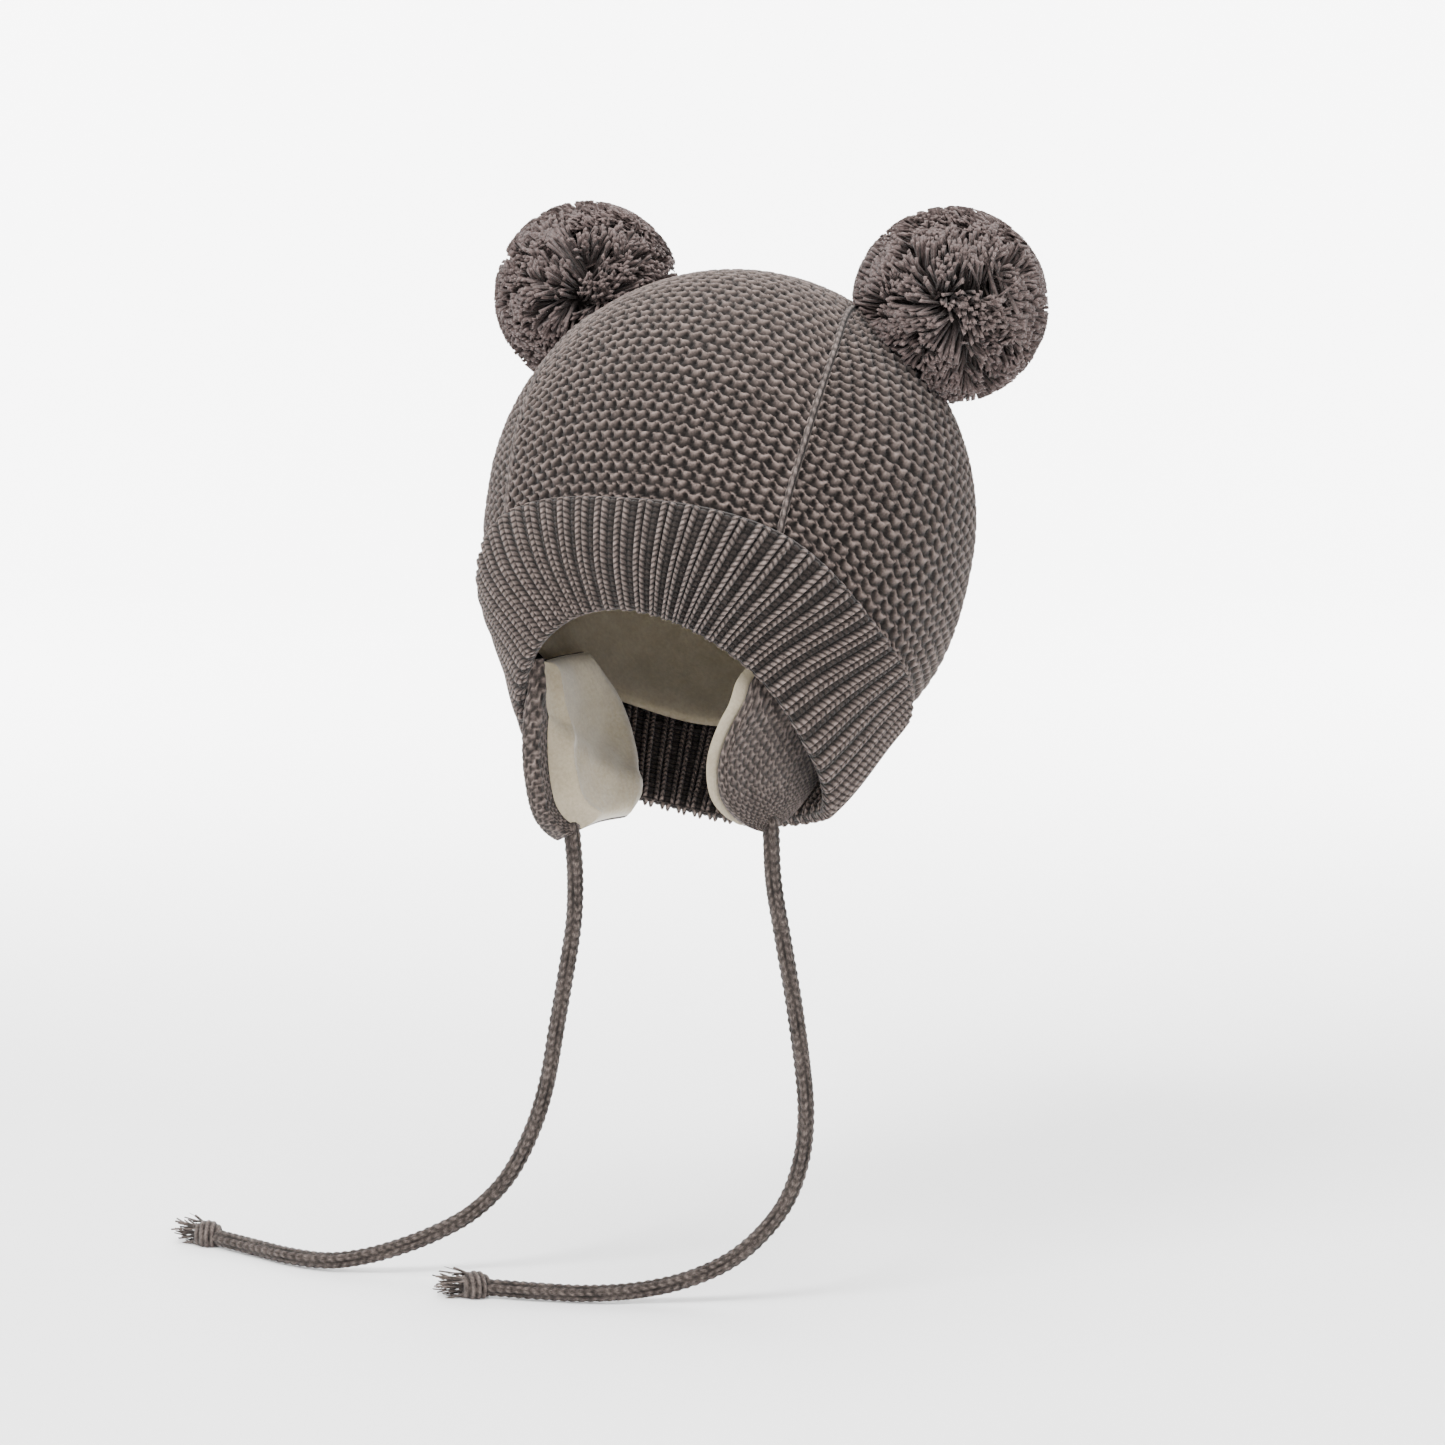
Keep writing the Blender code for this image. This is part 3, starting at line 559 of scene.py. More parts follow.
def garter(stitch, row):
    """Height of garter knit at stitch and row counts, 0 to 1: each row lies over the one above it with a
    scalloped, rounded upper edge, falls away below, and has a small pit under each scallop."""
    # The height is also the crest that paints the wool: painted shade on each row's lower part and in the
    # pits, a painted highlight along the upper edges.
    height = np.zeros_like(row)
    for step in (-1, 0, 1):
        line = np.floor(row) + step
        place = stitch + GARTER_LEAN * line + unevenness(line, line * 0, ROW_SHIFT)
        turn, each = place - np.round(place), np.round(place)
        scallop = np.exp(-((turn / SCALLOP_WIDTH) ** 2))
        arch = GARTER_ARCH * (scallop - SCALLOP_LEVEL)
        edge = line + EDGE_PLACE + arch + unevenness(line, each, EDGE_UNEVEN)
        below = edge - row
        fall = 1 - ROW_FALL * np.clip((below - EDGE_ROUND) / ROW_FALL_LENGTH, 0, 1) ** ROW_FALL_CURVE
        aside, down = (turn - PIT_PLACE[0]) / PIT_SIZE[0], (below - PIT_PLACE[1]) / PIT_SIZE[1]
        pit = np.exp(-(aside ** 2 + down ** 2)) * (1 + unevenness(line, each + 90, PIT_UNEVEN))
        ridge = quarter_round(below / EDGE_ROUND) * fall * (1 - pit)
        height = np.where(below > 0, np.maximum(ridge, height * (below > 1.0)), height)
    return np.clip(height, 0, 1)


def close_rim(bm, depth):
    """Turn the open edge of a knitted panel in towards the head centre, so that it shows its thickness."""
    edges = [edge for edge in bm.edges if edge.is_boundary]
    made = bmesh.ops.extrude_edge_only(bm, edges=edges)["geom"]
    for vert in made:
        if isinstance(vert, bmesh.types.BMVert):
            vert.co += (HEAD_CENTRE - vert.co).normalized() * depth


def center_panel():
    """Garter knit between the two seams, from the cuff in front to the cuff behind."""
    edge = np.array([0.0])
    start, end = crown_foot(edge, False)[0], crown_foot(edge, True)[0]
    length = (end - start) * (CROWN_RISE + (FRONT_DEPTH + BACK_DEPTH) / 2) / 2
    width = 2 * HALF_WIDTH * math.radians(max(SEAM_OUT))

    def place(u, v):
        across = 2 * u - 1
        front, behind = crown_foot(across, False), crown_foot(across, True)
        over = front + (behind - front) * v
        out = across * (seam_angle(over) - SEAM_SLOT / HALF_WIDTH)
        stitch, row = out * HALF_WIDTH / GARTER_STITCH, v * length / GARTER_ROW
        height = garter(stitch, row)
        points = on_form(over_direction(over, out), GARTER_RELIEF * (height - GARTER_LEVEL))
        return points, height, row, stitch, 0 * row

    bm = mapped_grid(round(width / CROWN_CELL / CELL_STRETCH), round(length / CROWN_CELL), place)
    close_rim(bm, KNIT_WALL)
    return bm


# Lit crest tone with a painted highlight, and painted shade for the pits and under the rows, at a high
# contrast.
crown_wool = wool("crown_wool", (0.158, 0.121, 0.107), (0.004, 0.003, 0.0025), shade_contrast=4.0)
place_piece("crown_center", center_panel(), crown_wool, "crown_knit", "crown_center_panel")


# Crown side panels: the two garter-knit sides between the seams. Their ridges lie along the edge of
# the cuff and rise towards the pompoms.
PANEL_TIP = 0.95
SIDE_CELL_STRETCH = 1.3
MEASURE_POINTS = 41


def side_panel(side):
    """Garter knit between a seam and the cuff, on the wearer's right for -1 and left for 1."""
    def around_at(back):
        def short_of_seam(around):
            over, out = over_angles(cuff_direction(around, CROWN_TUCK))
            return (out > seam_angle(over) + SEAM_SLOT / HALF_WIDTH) == back

        start = np.array([np.pi / 2 if back else 0.0])
        return last_place(start, start + np.pi / 2, short_of_seam)[0]

    first, last = around_at(False), around_at(True)
    foot_front, foot_back = cuff_direction(np.array([first, last]), CROWN_TUCK)
    seam_foot = {back: crown_foot(np.array([1.0]), back)[0] for back in (False, True)}

    def seam_point(back, share):
        over = seam_foot[back] + (np.pi / 2 - seam_foot[back]) * share
        return over_direction(over, seam_angle(over) + SEAM_SLOT / HALF_WIDTH)

    def direction(across, along):
        foot = cuff_direction(first + (last - first) * across, CROWN_TUCK)
        a, b = across[:, None], along[:, None]
        bulge = foot - (foot_front * (1 - a) + foot_back * a)
        row = seam_point(False, along) * (1 - a) + seam_point(True, along) * a
        return unit(row + bulge * (1 - b)) * np.array([side, 1, 1])

    line = np.linspace(0, 1, MEASURE_POINTS)
    middle = on_form(direction(line * 0 + 0.5, line * PANEL_TIP), line * 0)
    length = np.linalg.norm(np.diff(middle, axis=0), axis=1).sum()
    widths = []
    for along in line:
        points = on_form(direction(line, line * 0 + along * PANEL_TIP), line * 0)
        widths.append(np.linalg.norm(np.diff(points, axis=0), axis=1).sum())

    def place(u, v):
        stitch = (u - 0.5) * np.interp(v, line, widths) / GARTER_STITCH
        row = v * length / GARTER_ROW
        height = garter(stitch, row)
        points = on_form(direction(u, v * PANEL_TIP), GARTER_RELIEF * (height - GARTER_LEVEL))
        return points, height, row, stitch, 0 * row

    bm = mapped_grid(round(max(widths) / CROWN_CELL / SIDE_CELL_STRETCH), round(length / CROWN_CELL), place)
    close_rim(bm, KNIT_WALL)
    return bm


place_piece("crown_right", side_panel(-1), crown_wool, "crown_knit", "crown_side_right")
place_piece("crown_left", side_panel(1), crown_wool, "crown_knit", "crown_side_left")


# Crown seams: the panels are linked with a chain of paler yarn that stands up as a narrow plait from
# the cuff over the top and down to the cuff behind.
SEAM_DIAMETER = 0.0027
SEAM_STITCH = 0.0034
SEAM_RELIEF = 0.0007
SEAM_AROUND = 16
SEAM_COLUMNS = 2
SEAM_STEPS = 420
SEAM_LIFT = 0.0002

# Lit crest tone with a painted highlight, and painted shade for the creases of the plait.
seam_wool = wool("seam_wool", (0.160, 0.129, 0.117), (0.008, 0.006, 0.005))
for side, side_name in ((-1, "right"), (1, "left")):
    ends = [crown_foot(np.array([1.0]), back)[0] for back in (False, True)]
    over = np.linspace(ends[0], ends[1], SEAM_STEPS)
    direction = over_direction(over, seam_angle(over)) * np.array([side, 1, 1])
    line = on_form(direction, over * 0 + SEAM_LIFT) - np.array(HEAD_CENTRE)
    seam = knitted_cord(line, SEAM_DIAMETER, SEAM_AROUND, SEAM_COLUMNS, SEAM_STITCH, SEAM_RELIEF, turns=0.0)
    place_piece("seam_" + side_name, seam, seam_wool, "seam_yarn", "crown_seam_" + side_name)


# Ribbed cuff: a 2 by 2 rib knitted in one with the crown and turned up over its lower edge. Each rib
# is two columns of V stitches, upside down now that it is folded, with purl stitches sunk between.
RIB_COUNT = 62
CUFF_WALL = 0.0036
CUFF_EASE = 0.0008
CUFF_STITCH = 0.0021
RIB_CELLS = 15
RIB_MIDDLES = (0.15, 0.48)
RIB_HALF = 0.140
PURL_MIDDLE = 0.815
PURL_HALF = 0.21
PURL_HEIGHT = 0.30
PURL_BOW = 0.30
V_LEAN = 0.34
SECOND_RIDGE_LOWER = 0.12
RIB_RELIEF = 0.0021
# Path round the cuff's section: share of the height, and height over the crown in walls of the cuff
CUFF_PATH = (
    (0.120, -0.86), (0.60, -0.86), (0.93, -0.80), (0.985, -0.45), (1.000, 0.05), (0.99, 0.55), (0.95, 0.92),
    (0.80, 1.00), (0.40, 1.00), (0.050, 1.00), (0.008, 0.86), (-0.006, 0.55), (0.004, 0.20), (0.040, 0.06),
)
CUFF_HEIGHT = 0.045
CUFF_INSIDE = -0.2
CUFF_FACING = 1.6
CUFF_SAMPLES = 400
CUFF_ROWS = 92


def rib(place, stitch):
    """Height of 2 by 2 rib, 0 to 1, at a count of ribs round the cuff and of stitches up it, and the phase of
    its stitches: they lean together on the two ridges of a rib and lie level in the sunk purl between."""
    share = place - np.floor(place)
    height, phase = np.zeros_like(place), stitch + 0.5
    for side, middle in zip((-1, 1), RIB_MIDDLES):
        across = (share - middle) / RIB_HALF
        ridge = np.sqrt(np.clip(1 - across ** 2, 0, 1)) * (1 - SECOND_RIDGE_LOWER * (side > 0))
        phase = np.where(ridge > height, stitch + side * V_LEAN * across, phase)
        height = np.maximum(height, ridge)
    away = np.minimum(np.abs(share - PURL_MIDDLE), np.abs(share + 1 - PURL_MIDDLE)) / PURL_HALF
    purl = PURL_HEIGHT * np.clip(1 - away ** 2, 0, 1)
    phase = np.where(purl > height, stitch + 0.5 + PURL_BOW * np.clip(away, 0, 1), phase)
    return np.maximum(height, purl), phase


def cuff_mesh():
    """Folded band with rib on both faces, its grid laid round the hat and round the band's section."""
    corners = np.array(CUFF_PATH)
    samples = np.linspace(0, len(corners) - 1, CUFF_SAMPLES)
    heights = along_curve(range(len(corners)), corners[:, 0], samples)
    walls = along_curve(range(len(corners)), corners[:, 1], samples)
    steps = np.hypot(np.diff(heights) * CUFF_HEIGHT, np.diff(walls) * CUFF_WALL)
    lengths = np.concatenate([[0], np.cumsum(steps)])

    def place(u, v):
        run = v * lengths[-1]
        height, wall = np.interp(run, lengths, heights), np.interp(run, lengths, walls)
        count = u * RIB_COUNT
        inside = wall < CUFF_INSIDE
        crests, phase = rib(np.where(inside, count + 0.5, count), run / CUFF_STITCH)
        outward = wall * CUFF_WALL + CUFF_EASE * np.clip(wall, 0, 1)
        toward = np.clip(wall * CUFF_FACING, -1, 1)
        points = on_form(cuff_direction(2 * np.pi * u, height), outward - toward * RIB_RELIEF * (1 - crests))
        # The rib's height is also the crest that paints the wool: painted shade in the sunk purl and between
        # the ridges, a painted highlight on the ridges.
        return points, crests, count * 2, run / CUFF_STITCH, phase

    return mapped_grid(RIB_COUNT * RIB_CELLS, CUFF_ROWS, place)


# Lit crest tone with a painted highlight, painted shade in the pits, and painted shade in the gaps from
# stitch to stitch.
cuff_wool = wool("cuff_wool", (0.163, 0.127, 0.113), (0.005, 0.004, 0.0035), shade_contrast=1.6, stitches=0.80)
place_piece("cuff", cuff_mesh(), cuff_wool, "cuff_rib", "ribbed_cuff")


# Crown lining: a cup of cream fleece sewn inside the crown. It is brushed and soft, and its lower edge
# waves a little, a fifth of the way down the cuff.
LINING_GAP = 0.0009
FLEECE_WALL = 0.0022
LINING_TUCK = 0.215
LINING_WAVE = 0.018
LINING_WAVES = 9
LINING_ROUND = 0.03
LINING_PUFF = 0.0004
LINING_PUFFS = ((7, 9), (5, -13))
LINING_CELLS = (160, 120)


def fleece(name, color, shade):
    """Brushed fleece: a soft short pile, a little darker where it is pressed down."""
    surface = {"Roughness": 1.0, "Specular IOR Level": 0.1, "Sheen Weight": 0.5, "Sheen Roughness": 0.6}
    material = new_material(name, surface)
    place = add_node(material, "TexCoord", "Object", {})
    pile_size = {"Vector": place, "Scale": 900.0, "Detail": 5.0, "Roughness": 0.6}
    pile = add_node(material, "TexNoise", "Fac", pile_size)
    pressed = add_node(material, "TexNoise", "Fac", {"Vector": place, "Scale": 60.0, "Detail": 3.0})
    both = add_node(material, "Math", "Value", {0: pile, 1: pressed}, operation="ADD")
    mask = add_node(material, "MapRange", "Result", {"Value": both, "From Min": 0.75, "From Max": 1.25})
    tones = {"Factor": mask, "A": (*shade, 1), "B": (*color, 1)}
    finish_cloth(material, add_node(material, "Mix", "Result", tones, data_type="RGBA"), pile, 0.35, 0.0005)
    return material


def puffs(waves, u, v):
    """Product of slow waves over two shares, from -1 to 1, with which fleece lies a little unevenly."""
    heights = np.ones_like(u)
    for along_u, along_v in waves:
        heights = heights * np.sin(u * along_u + v * along_v)
    return heights


def lining_mesh():
    """Closed cup: its grid runs from the top down one face of the fleece and back up the other."""
    def place(u, v):
        around = 2 * np.pi * u
        shell = np.where(v < 0.5, 0.0, 1.0)
        share = np.where(v < 0.5, 2 * v, 2 - 2 * v)
        edge = LINING_TUCK + LINING_WAVE * np.sin(LINING_WAVES * around)
        foot = cuff_direction(around, edge)
        foot_azimuth = np.arctan2(foot[:, 0], -foot[:, 1])
        turn = (foot_azimuth - around + np.pi) % (2 * np.pi) - np.pi
        direction = polar_direction(around + turn * share, np.arccos(foot[:, 2]) * share)
        thickness = FLEECE_WALL * quarter_round((1 - share) / LINING_ROUND)
        middle = KNIT_WALL + LINING_GAP + FLEECE_WALL / 2
        puff = LINING_PUFF * puffs(LINING_PUFFS, around, share) * share
        depth = middle + (1 - 2 * shell) * thickness / 2 + puff
        return on_form(direction, -depth), around * 0 + 1, around, share, share

    return mapped_grid(*LINING_CELLS, place)


cream_fleece = fleece("cream_fleece", (0.33, 0.280, 0.197), (0.235, 0.194, 0.128))
place_piece("lining", lining_mesh(), cream_fleece, "fleece", "crown_lining")


# Ear flaps: a flat of finer knit hanging from inside the cuff on each side, with a rounded edge and a
# hem rolled out along its front. Its stitches run aslant.
FLAP_WALL = 0.0030
# How far the foot reaches below the head centre, then rows down to it: the share of that reach, and the
# places of the front and the back edge, each out and ahead as shares of the crown's half width and depth
RIGHT_FLAP = (
    0.1062,
    (0.44, 0.57, 0.80, 0.65, 0.10),
    (0.57, 0.57, 0.78, 0.60, -0.06),
    (0.70, 0.58, 0.78, 0.54, -0.10),
    (0.82, 0.57, 0.78, 0.49, -0.06),
    (0.91, 0.55, 0.77, 0.46, 0.02),
    (0.97, 0.53, 0.71, 0.43, 0.07),
    (1.00, 0.50, 0.62, 0.43, 0.19),
)
LEFT_FLAP = (
    0.0930,
    (0.49, 0.53, 0.83, 0.70, 0.01),
    (0.60, 0.45, 0.86, 0.62, -0.03),
    (0.73, 0.39, 0.88, 0.54, -0.03),
    (0.85, 0.38, 0.86, 0.46, 0.00),
    (0.93, 0.40, 0.79, 0.44, 0.10),
    (0.98, 0.42, 0.70, 0.44, 0.27),
    (1.00, 0.44, 0.62, 0.45, 0.45),
)
FLAP_BOW = 0.085
# By side, -1 for the wearer's right and 1 for the left
FOOT_SAG = {-1: 0.0038, 1: 0.0}
HEM_ROLL = {-1: 0.0034, 1: 0.0012}
HEM_WIDTH = 0.011
FOOT_SAG_CURVE = 6
FLAP_EASE = 0.0010
FLAP_FREE_AFTER = math.radians(2.0)
FLAP_FREEING = 0.09
FLAP_SOFTENING = 0.0016
FLAP_STITCH = 0.0026
FLAP_ROW = 0.0020
FLAP_RELIEF = 0.0009
FLAP_ASLANT = math.radians(32)
FLAP_CELLS = 124
RIM_CELLS = 0.09
RIM_SHARE = 0.025
RIM_CROWDING = 1.6


def flap_sheet(side, flap, across, down):
    """Points on a flap's outer face, by shares across it from front to back and down it."""
    rows = np.array(flap[1:])
    places = np.linspace(0, 1, len(rows))
    drop, front_out, front_ahead, back_out, back_ahead = (
        along_curve(places, column, down) for column in rows.T
    )
    front = np.stack([front_out * HALF_WIDTH, -front_ahead * FRONT_DEPTH], axis=1)
    behind = np.stack([back_out * HALF_WIDTH, -back_ahead * FRONT_DEPTH], axis=1)
    level = front + (behind - front) * across[:, None]
    bow = FLAP_BOW * np.linalg.norm(behind - front, axis=1) * (1 - (2 * across - 1) ** 2)
    sag = FOOT_SAG[side] * down ** FOOT_SAG_CURVE * (1 - (2 * across - 1) ** 2)
    own = np.stack([side * (level[:, 0] + bow), level[:, 1], -drop * flap[0] - sag], axis=1)
    own = tilt_back(own, -HAT_TILT)
    length = np.linalg.norm(own, axis=1)
    direction = own / length[:, None]
    fold = cuff_angle(CUFF_FOLD, np.arctan2(direction[:, 0], -direction[:, 1]))
    past_fold = np.arccos(direction[:, 2]) - fold
    freed = np.maximum(0, past_fold - FLAP_FREE_AFTER) * FLAP_FREEING
    limit = form_radius(direction) - KNIT_WALL - FLAP_EASE + freed
    soft = -np.logaddexp(-length / FLAP_SOFTENING, -limit / FLAP_SOFTENING) * FLAP_SOFTENING
    return tilt_back(direction * soft[:, None]) + np.array(HEAD_CENTRE)


def flap_size(side, flap):
    """Width of a flap halfway down, and its drop down the middle."""
    start, middle, end = np.zeros(1), np.full(1, 0.5), np.ones(1)
    width = np.linalg.norm(flap_sheet(side, flap, end, middle) - flap_sheet(side, flap, start, middle))
    drop = np.linalg.norm(flap_sheet(side, flap, middle, end) - flap_sheet(side, flap, middle, start))
    return width, drop


def flap_inward(side, flap, across, down, step=0.02):
    """Unit normals of a flap's sheet, towards the head."""
    run = flap_sheet(side, flap, np.minimum(across + step, 1), down)
    run -= flap_sheet(side, flap, np.maximum(across - step, 0), down)
    fall = flap_sheet(side, flap, across, np.minimum(down + step, 1))
    fall -= flap_sheet(side, flap, across, np.maximum(down - step, 0))
    normal = unit(np.cross(run, fall))
    return normal * np.where(normal[:, :1] * side < 0, 1, -1)


def rim_spacing(place):
    """Shares from 0 to 1 that stand close together near both ends, where a slab's edge is rounded, and
    evenly between."""
    near = np.minimum(place, 1 - place)
    inner = RIM_SHARE + (near - RIM_CELLS) * (0.5 - RIM_SHARE) / (0.5 - RIM_CELLS)
    share = np.where(near < RIM_CELLS, RIM_SHARE * (near / RIM_CELLS) ** RIM_CROWDING, inner)
    return np.where(place < 0.5, share, 1 - share)


def slab(outline, cells):
    """Two faces that meet in a rounded edge. The outline function places the points of a face, -1 or 1,
    by shares across it and down it."""
    bm = None
    for face in (-1, 1):
        def place(u, v, face=face):
            return outline(face, rim_spacing(u), rim_spacing(v))

        bm = mapped_grid(cells, cells, place, bm)
    return bm


def knit_flap(side, flap):
    """Slab of garter knit with its outer face at -1, whose front edge is thickened by the rolled hem."""
    width, drop = flap_size(side, flap)

    def outline(face, across, down):
        to_edge = np.minimum(np.minimum(across, 1 - across) * width, np.minimum(down, 1 - down) * drop)
        half = FLAP_WALL / 2
        swell = half * quarter_round(to_edge / half)
        rim = half * math.pi / 2 + HEM_ROLL[side] * (face < 0) * (across < 0.5)
        past_rim = rim * (1 - np.arcsin(np.clip(1 - to_edge / half, 0, 1)) / (math.pi / 2))
        a = across * width - np.where(across < 0.5, face, -face) * past_rim
        b = down * drop
        stitch = (a * math.cos(FLAP_ASLANT) + b * math.sin(FLAP_ASLANT)) / FLAP_STITCH
        row = (a * math.sin(FLAP_ASLANT) - b * math.cos(FLAP_ASLANT)) / FLAP_ROW
        height = garter(stitch, row)
        depth = half + face * (swell - FLAP_RELIEF * (1 - height) * np.clip(to_edge / half, 0, 1))
        hem = np.cos(np.clip(across * width / HEM_WIDTH, 0, 1) * math.pi / 2) ** 2
        depth -= HEM_ROLL[side] * hem * (face < 0) * swell / half
        points = flap_sheet(side, flap, across, down) + flap_inward(side, flap, across, down) * depth[:, None]
        return points, height, row, stitch, 0 * row

    return slab(outline, FLAP_CELLS)


# Lit crest tone with a painted highlight, and painted shade for the pits and under the rows.
flap_wool = wool("flap_wool", (0.125, 0.097, 0.086), (0.005, 0.004, 0.0035), shade_contrast=2.6)
for side, side_name, flap in ((-1, "right", RIGHT_FLAP), (1, "left", LEFT_FLAP)):
    place_piece("flap_" + side_name, knit_flap(side, flap), flap_wool, "flap_knit", "ear_flap_" + side_name)


# Flap fleece: a pad of the same cream fleece sewn to the inner face of each flap. A narrow band of it
# faces forward along the front edge and meets the flat inner face in a raised crease.
PAD_FOOT = {-1: 0.985, 1: 0.960}
# How far the front edge stands in from the flap's, at the top and at the foot
PAD_FRONT_INSETS = {-1: (0.0090, 0.0060), 1: (-0.0045, -0.0012)}
PAD_BACK_INSET = 0.0010
PAD_BAND = 0.0070
PAD_THICK = 0.0056
PAD_CREASE = 0.0007
PAD_CREASE_WIDTH = 0.0016
PAD_GAP = 0.0001
PAD_PUFF = 0.0003
PAD_PUFFS = ((17, 5), (0, 13))
PILE = 0.00012
PAD_CELLS = 72


def fleece_pad(side, flap):
    """Slab of fleece with its back flat on the flap, thickening over the front band to its full depth."""
    drop = flap_size(side, flap)[1]

    def outline(face, across, down):
        spot = PAD_FOOT[side] * down
        ends = flap_sheet(side, flap, across * 0 + 1, spot) - flap_sheet(side, flap, across * 0, spot)
        span = np.linalg.norm(ends, axis=1)
        low, high = np.interp(down, (0, 1), PAD_FRONT_INSETS[side]) / span, 1 - PAD_BACK_INSET / span
        share = low + (high - low) * across
        from_front, from_back = (share - low) * span, (high - share) * span
        to_end = np.minimum(down, 1 - down) * drop
        round_back = quarter_round(np.minimum(from_back, to_end) / PAD_THICK)
        band = np.clip(from_front / PAD_BAND, 0, 1)
        thick = PAD_THICK * np.minimum(band, round_back) if face > 0 else across * 0
        crease = PAD_CREASE * np.exp(-(((from_front - PAD_BAND) / PAD_CREASE_WIDTH) ** 2))
        puff = PAD_PUFF * puffs(PAD_PUFFS, share, down)
        puff += PILE * np.random.default_rng(3).uniform(-1, 1, len(share))
        thick = thick + (puff + crease) * (face > 0) * np.minimum(band * 2, 1) * round_back
        points = flap_sheet(side, flap, share, spot)
        points += flap_inward(side, flap, share, spot) * (FLAP_WALL + PAD_GAP + thick)[:, None]
        return points, across * 0 + 1, share, down, down

    return slab(outline, PAD_CELLS)


for side, side_name, flap in ((-1, "right", RIGHT_FLAP), (1, "left", LEFT_FLAP)):
    bm = fleece_pad(side, flap)
    pad = place_piece("pad_" + side_name, bm, cream_fleece, "fleece", "flap_fleece_" + side_name)


# Pompoms: balls of cut wool yarn tied in the middle and sewn to the crown as ears. Thousands of yarn
# ends about 1 mm thick stand out all round in loose tufts, and stop short where they press on the crown.
POMPOM_RADIUS = 0.0312
POMPOM_REACH = 0.098
POMPOM_ANGLE = math.radians(42)
POMPOM_CORE = 0.56
# The yarns part where they are tied, on the side towards the camera and lower by this
POMPOM_TIED = (0.0, 0.0, -0.35)
POMPOM_SPLITS = 17
POMPOM_TUFTS = 240
POMPOM_GATHER = 0.35
POMPOM_GATHER_RANGE = (0.3, 1.6)
POMPOM_TUFT_LEAN = 0.17
POMPOM_STRAY = 0.07
POMPOM_COMB = 0.36
TUFT_RAGGED = 0.060
TUFT_LIMITS = (-0.12, 0.07)
YARN_RAGGED = 0.085
YARN_SHORTEST = -1.4
YARN_BEND = 0.05
YARN_LEAST = 0.06
YARN_FLARE = 0.35
YARN_CLEAR = 0.0012
YARN_TRIALS = 60
YARN_WIDTH = 0.00058
YARN_STAGES = (0.45, 0.85, 1.0)


def pompom_mesh(side):
    """Ball of yarns extruded from the faces of a core, gathered in tufts and cut a little unevenly."""
    centre = polar_direction(np.array([side * math.pi / 2]), np.array([POMPOM_ANGLE]))[0] * POMPOM_REACH
    chance = np.random.default_rng(21 + side)
    bm = bmesh.new()
    crest = bm.verts.layers.float.new("crest")
    lay = bm.verts.layers.float_vector.new("lay")
    bmesh.ops.create_icosphere(bm, subdivisions=1, radius=1.0)
    bmesh.ops.subdivide_edges(bm, edges=bm.edges, cuts=POMPOM_SPLITS, use_grid_fill=True)
    bmesh.ops.triangulate(bm, faces=bm.faces)
    for vert in bm.verts:
        vert.co.normalize()
        # The core takes the painted pit shade: a dark ball in the shade under the yarns.
        vert[crest] = 0.0
    faces = list(bm.faces)
    root = unit(np.array([face.calc_center_median() for face in faces]))
    tuft = unit(chance.normal(0, 1, (POMPOM_TUFTS, 3)))
    own_tuft = np.argmax(root @ tuft.T, axis=1)
    tuft_lean = chance.normal(0, POMPOM_TUFT_LEAN, tuft.shape)[own_tuft]
    gather = POMPOM_GATHER * chance.uniform(*POMPOM_GATHER_RANGE, len(root))
    aim = root + (tuft[own_tuft] - root) * gather[:, None]
    tied = unit(tilt_back(np.array([view_back]), -HAT_TILT) + np.array(POMPOM_TIED))[0]
    facing = root @ tied
    combed = (root - facing[:, None] * tied) * (POMPOM_COMB * (0.5 + 0.5 * facing))[:, None]
    aim = unit(aim + combed + tuft_lean + chance.normal(0, POMPOM_STRAY, root.shape))
    ragged = 1 + YARN_RAGGED * chance.uniform(YARN_SHORTEST, 1, len(root))
    ragged += np.clip(chance.normal(0, TUFT_RAGGED, len(tuft)), *TUFT_LIMITS)[own_tuft]
    bend = chance.normal(0, YARN_BEND, root.shape)
    # How far each yarn reaches before it would pass into the crown
    reach = np.zeros(len(aim))
    clear = np.ones(len(aim), bool)
    for share in np.linspace(0.02, 1.0, YARN_TRIALS):
        spot = centre + aim * (share * POMPOM_RADIUS)
        distance = np.linalg.norm(spot, axis=1)
        clear &= distance > form_radius(spot / distance[:, None]) + YARN_CLEAR
        reach = np.where(clear, share, reach)
    tops = faces
    for share in YARN_STAGES:
        tops = bmesh.ops.extrude_discrete_faces(bm, faces=tops)["faces"]
        width = YARN_WIDTH / POMPOM_RADIUS * (1 + YARN_FLARE * (share == 1.0))
        for k, face in enumerate(tops):
            length = min(ragged[k], max(reach[k], POMPOM_CORE + YARN_LEAST)) - POMPOM_CORE
            direction = root[k] + (aim[k] - root[k]) * share + bend[k] * share * (1 - share)
            middle = Vector(direction / np.linalg.norm(direction) * (POMPOM_CORE + length * share))
            around = face.calc_center_median()
            for vert in face.verts:
                vert.co = middle + (vert.co - around).normalized() * width
                # Painted shade at each yarn's root, deep in the ball, paling to a painted highlight at its
                # tip.
                vert[crest] = share
                vert[lay] = (k, share, k)
    for vert in bm.verts:
        core = POMPOM_CORE if vert[crest] == 0.0 else 1.0
        vert.co = vert.co * core * POMPOM_RADIUS + Vector(centre)
    points = tilt_back(np.array([vert.co for vert in bm.verts])) + np.array(HEAD_CENTRE)
    for vert, point in zip(bm.verts, points):
        vert.co = point
    return bm


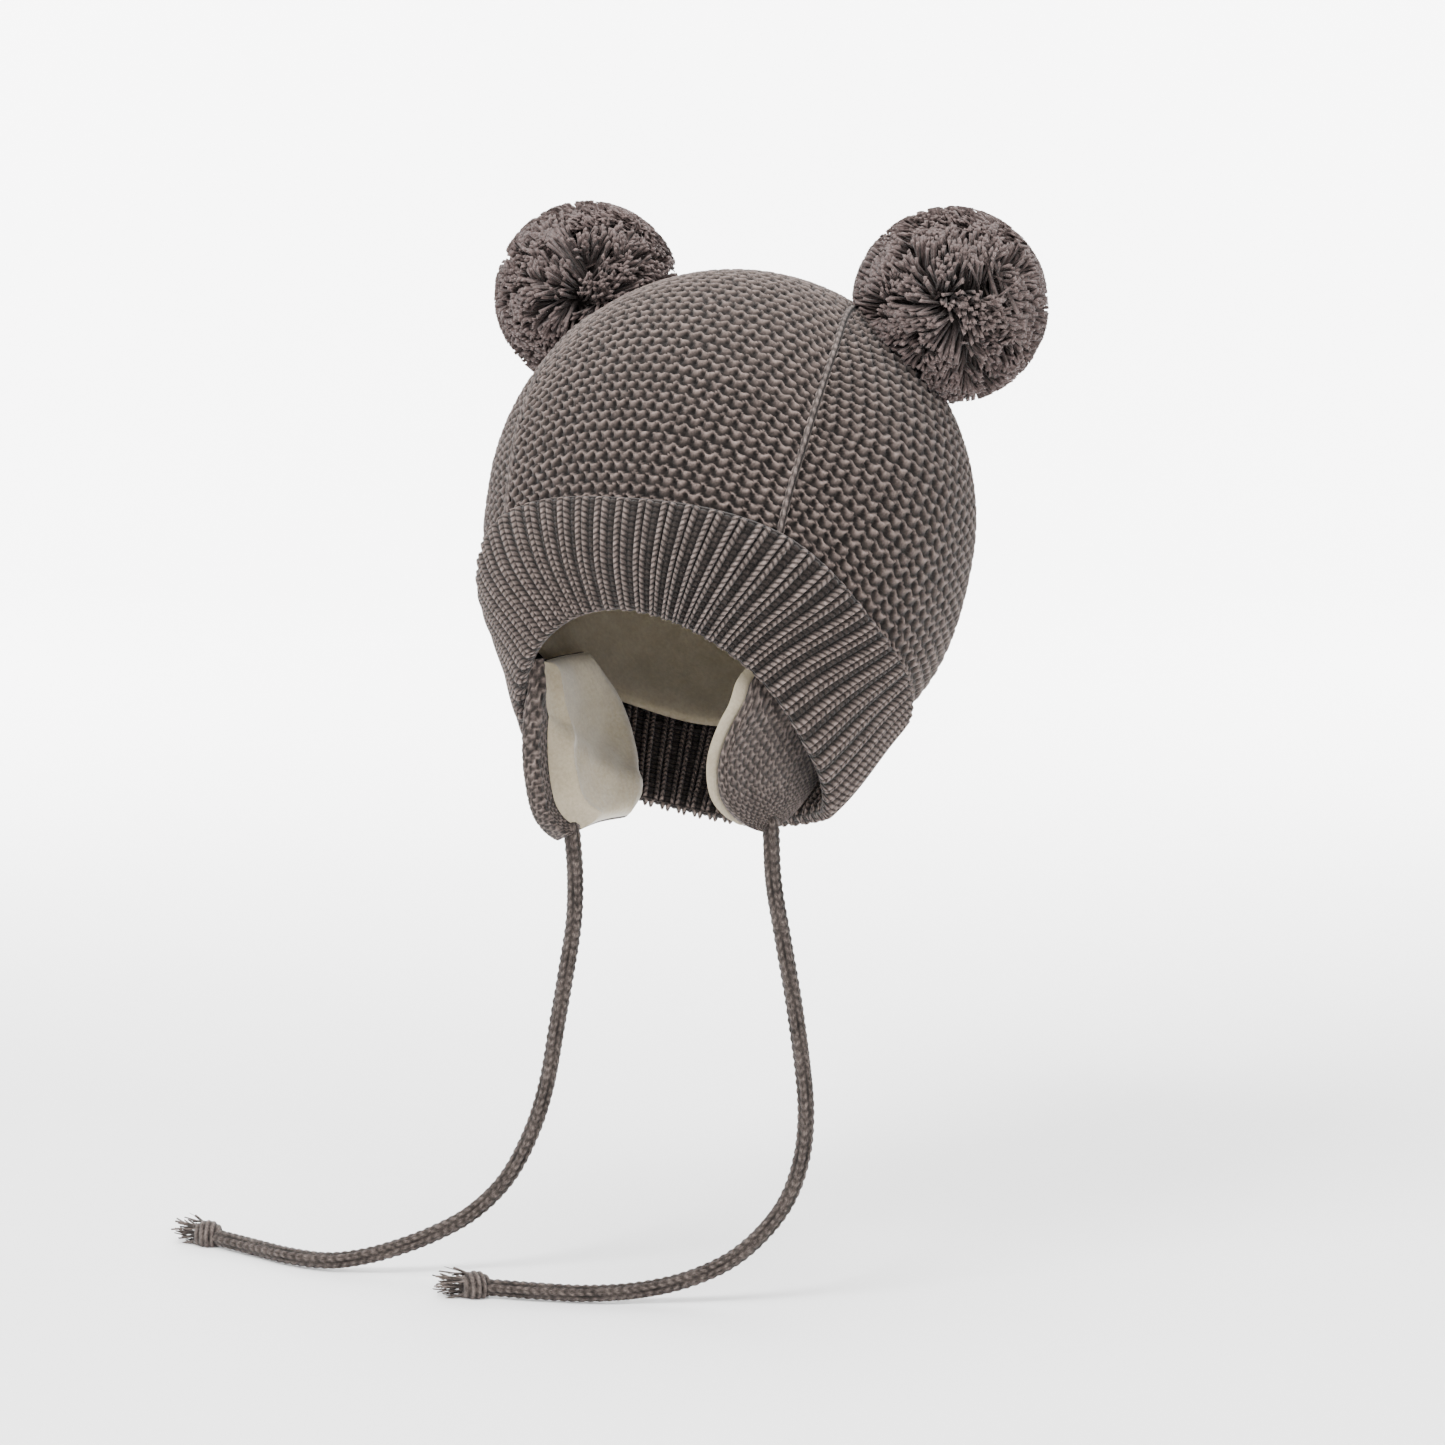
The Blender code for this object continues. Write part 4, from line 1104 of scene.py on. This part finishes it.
# Lit tip tone with a painted highlight, and painted shade for the core and the roots of the yarns.
pompom_wool = wool("pompom_wool", (0.100, 0.073, 0.068), (0.010, 0.008, 0.007), shade_contrast=1.3)
place_piece("ear_right", pompom_mesh(-1), pompom_wool, "pompom_yarn", "pompom_right")
place_piece("ear_left", pompom_mesh(1), pompom_wool, "pompom_yarn", "pompom_left")


# Floor and light: a white sweep of board under and behind the hat, soft boxes to the left, right and
# above, and two more on the board behind, as for a catalogue photograph.
FLOOR_LEVEL = -0.3184
SWEEP_SIZE = 6.0
SWEEP_BACK = 1.8
SWEEP_BEND = 0.9
SWEEP_STEPS = 24
GRAIN_SCALE = 7.0
WORLD_LIGHT = 0.95

bm = bmesh.new()
bmesh.ops.create_grid(bm, x_segments=1, y_segments=1, size=SWEEP_SIZE / 2)
floor_mesh = bpy.data.meshes.new("floor")
for vert in bm.verts:
    vert.co.z = FLOOR_LEVEL
back_edge = [edge for edge in bm.edges if all(vert.co.y > 0 for vert in edge.verts)]
for vert in back_edge[0].verts:
    vert.co.y = SWEEP_BACK
bend_axis = (0, SWEEP_BACK, FLOOR_LEVEL + SWEEP_BEND)
bmesh.ops.spin(bm, geom=back_edge, cent=bend_axis, axis=(1, 0, 0), angle=math.pi / 2, steps=SWEEP_STEPS)
bm.edges.ensure_lookup_table()
top_y = max(vert.co.y for vert in bm.verts)
upper = [edge for edge in bm.edges if all(vert.co.y > top_y - 1e-4 for vert in edge.verts)]
for vert in bmesh.ops.extrude_edge_only(bm, edges=upper)["geom"]:
    if isinstance(vert, bmesh.types.BMVert):
        vert.co.z += SWEEP_SIZE / 2
bmesh.ops.recalc_face_normals(bm, faces=bm.faces)
bm.to_mesh(floor_mesh)
bm.free()
floor_mesh.shade_smooth()
board = new_material("white_board", {"Roughness": 0.9})
board_place = add_node(board, "TexCoord", "Object", {})
grain = add_node(board, "TexNoise", "Fac", {"Vector": board_place, "Scale": GRAIN_SCALE})
board_tones = {"Factor": grain, "A": (0.92, 0.92, 0.92, 1), "B": (0.95, 0.95, 0.95, 1)}
board_tone = add_node(board, "Mix", "Result", board_tones, data_type="RGBA")
board.node_tree.links.new(board_tone, board.node_tree.nodes["Principled BSDF"].inputs["Base Color"])
floor_mesh.materials.append(board)
floor = bpy.data.objects.new("floor", floor_mesh)
floor.rotation_euler.z = VIEW_AZIMUTH
bpy.context.scene.collection.objects.link(floor)

for light_name, power, size, place, aim in (
    ("key", 45, 0.60, (-0.35, -1.05, 1.15), (0, 0, -0.1)),
    ("fill", 19, 1.2, (1.25, -0.75, 0.35), (0, 0, -0.1)),
    ("top", 24, 0.8, (0.05, 0.05, 1.25), (0, 0, -0.1)),
    ("backdrop_left", 190, 1.4, (-1.61, 0.30, 0.9), (-1.67, 2.18, 0.5)),
    ("backdrop_right", 190, 1.4, (0.70, 1.48, 0.9), (-0.78, 2.63, 0.5)),
):
    lamp = bpy.data.lights.new(light_name, "AREA")
    lamp.energy = power
    lamp.size = size
    light = bpy.data.objects.new(light_name, lamp)
    light.location = place
    light.rotation_euler = (Vector(place) - Vector(aim)).to_track_quat("Z", "Y").to_euler()
    bpy.context.scene.collection.objects.link(light)
world = bpy.data.worlds.new("studio")
world.use_nodes = True
world.node_tree.nodes["Background"].inputs["Color"].default_value = (1, 1, 1, 1)
world.node_tree.nodes["Background"].inputs["Strength"].default_value = WORLD_LIGHT
bpy.context.scene.world = world
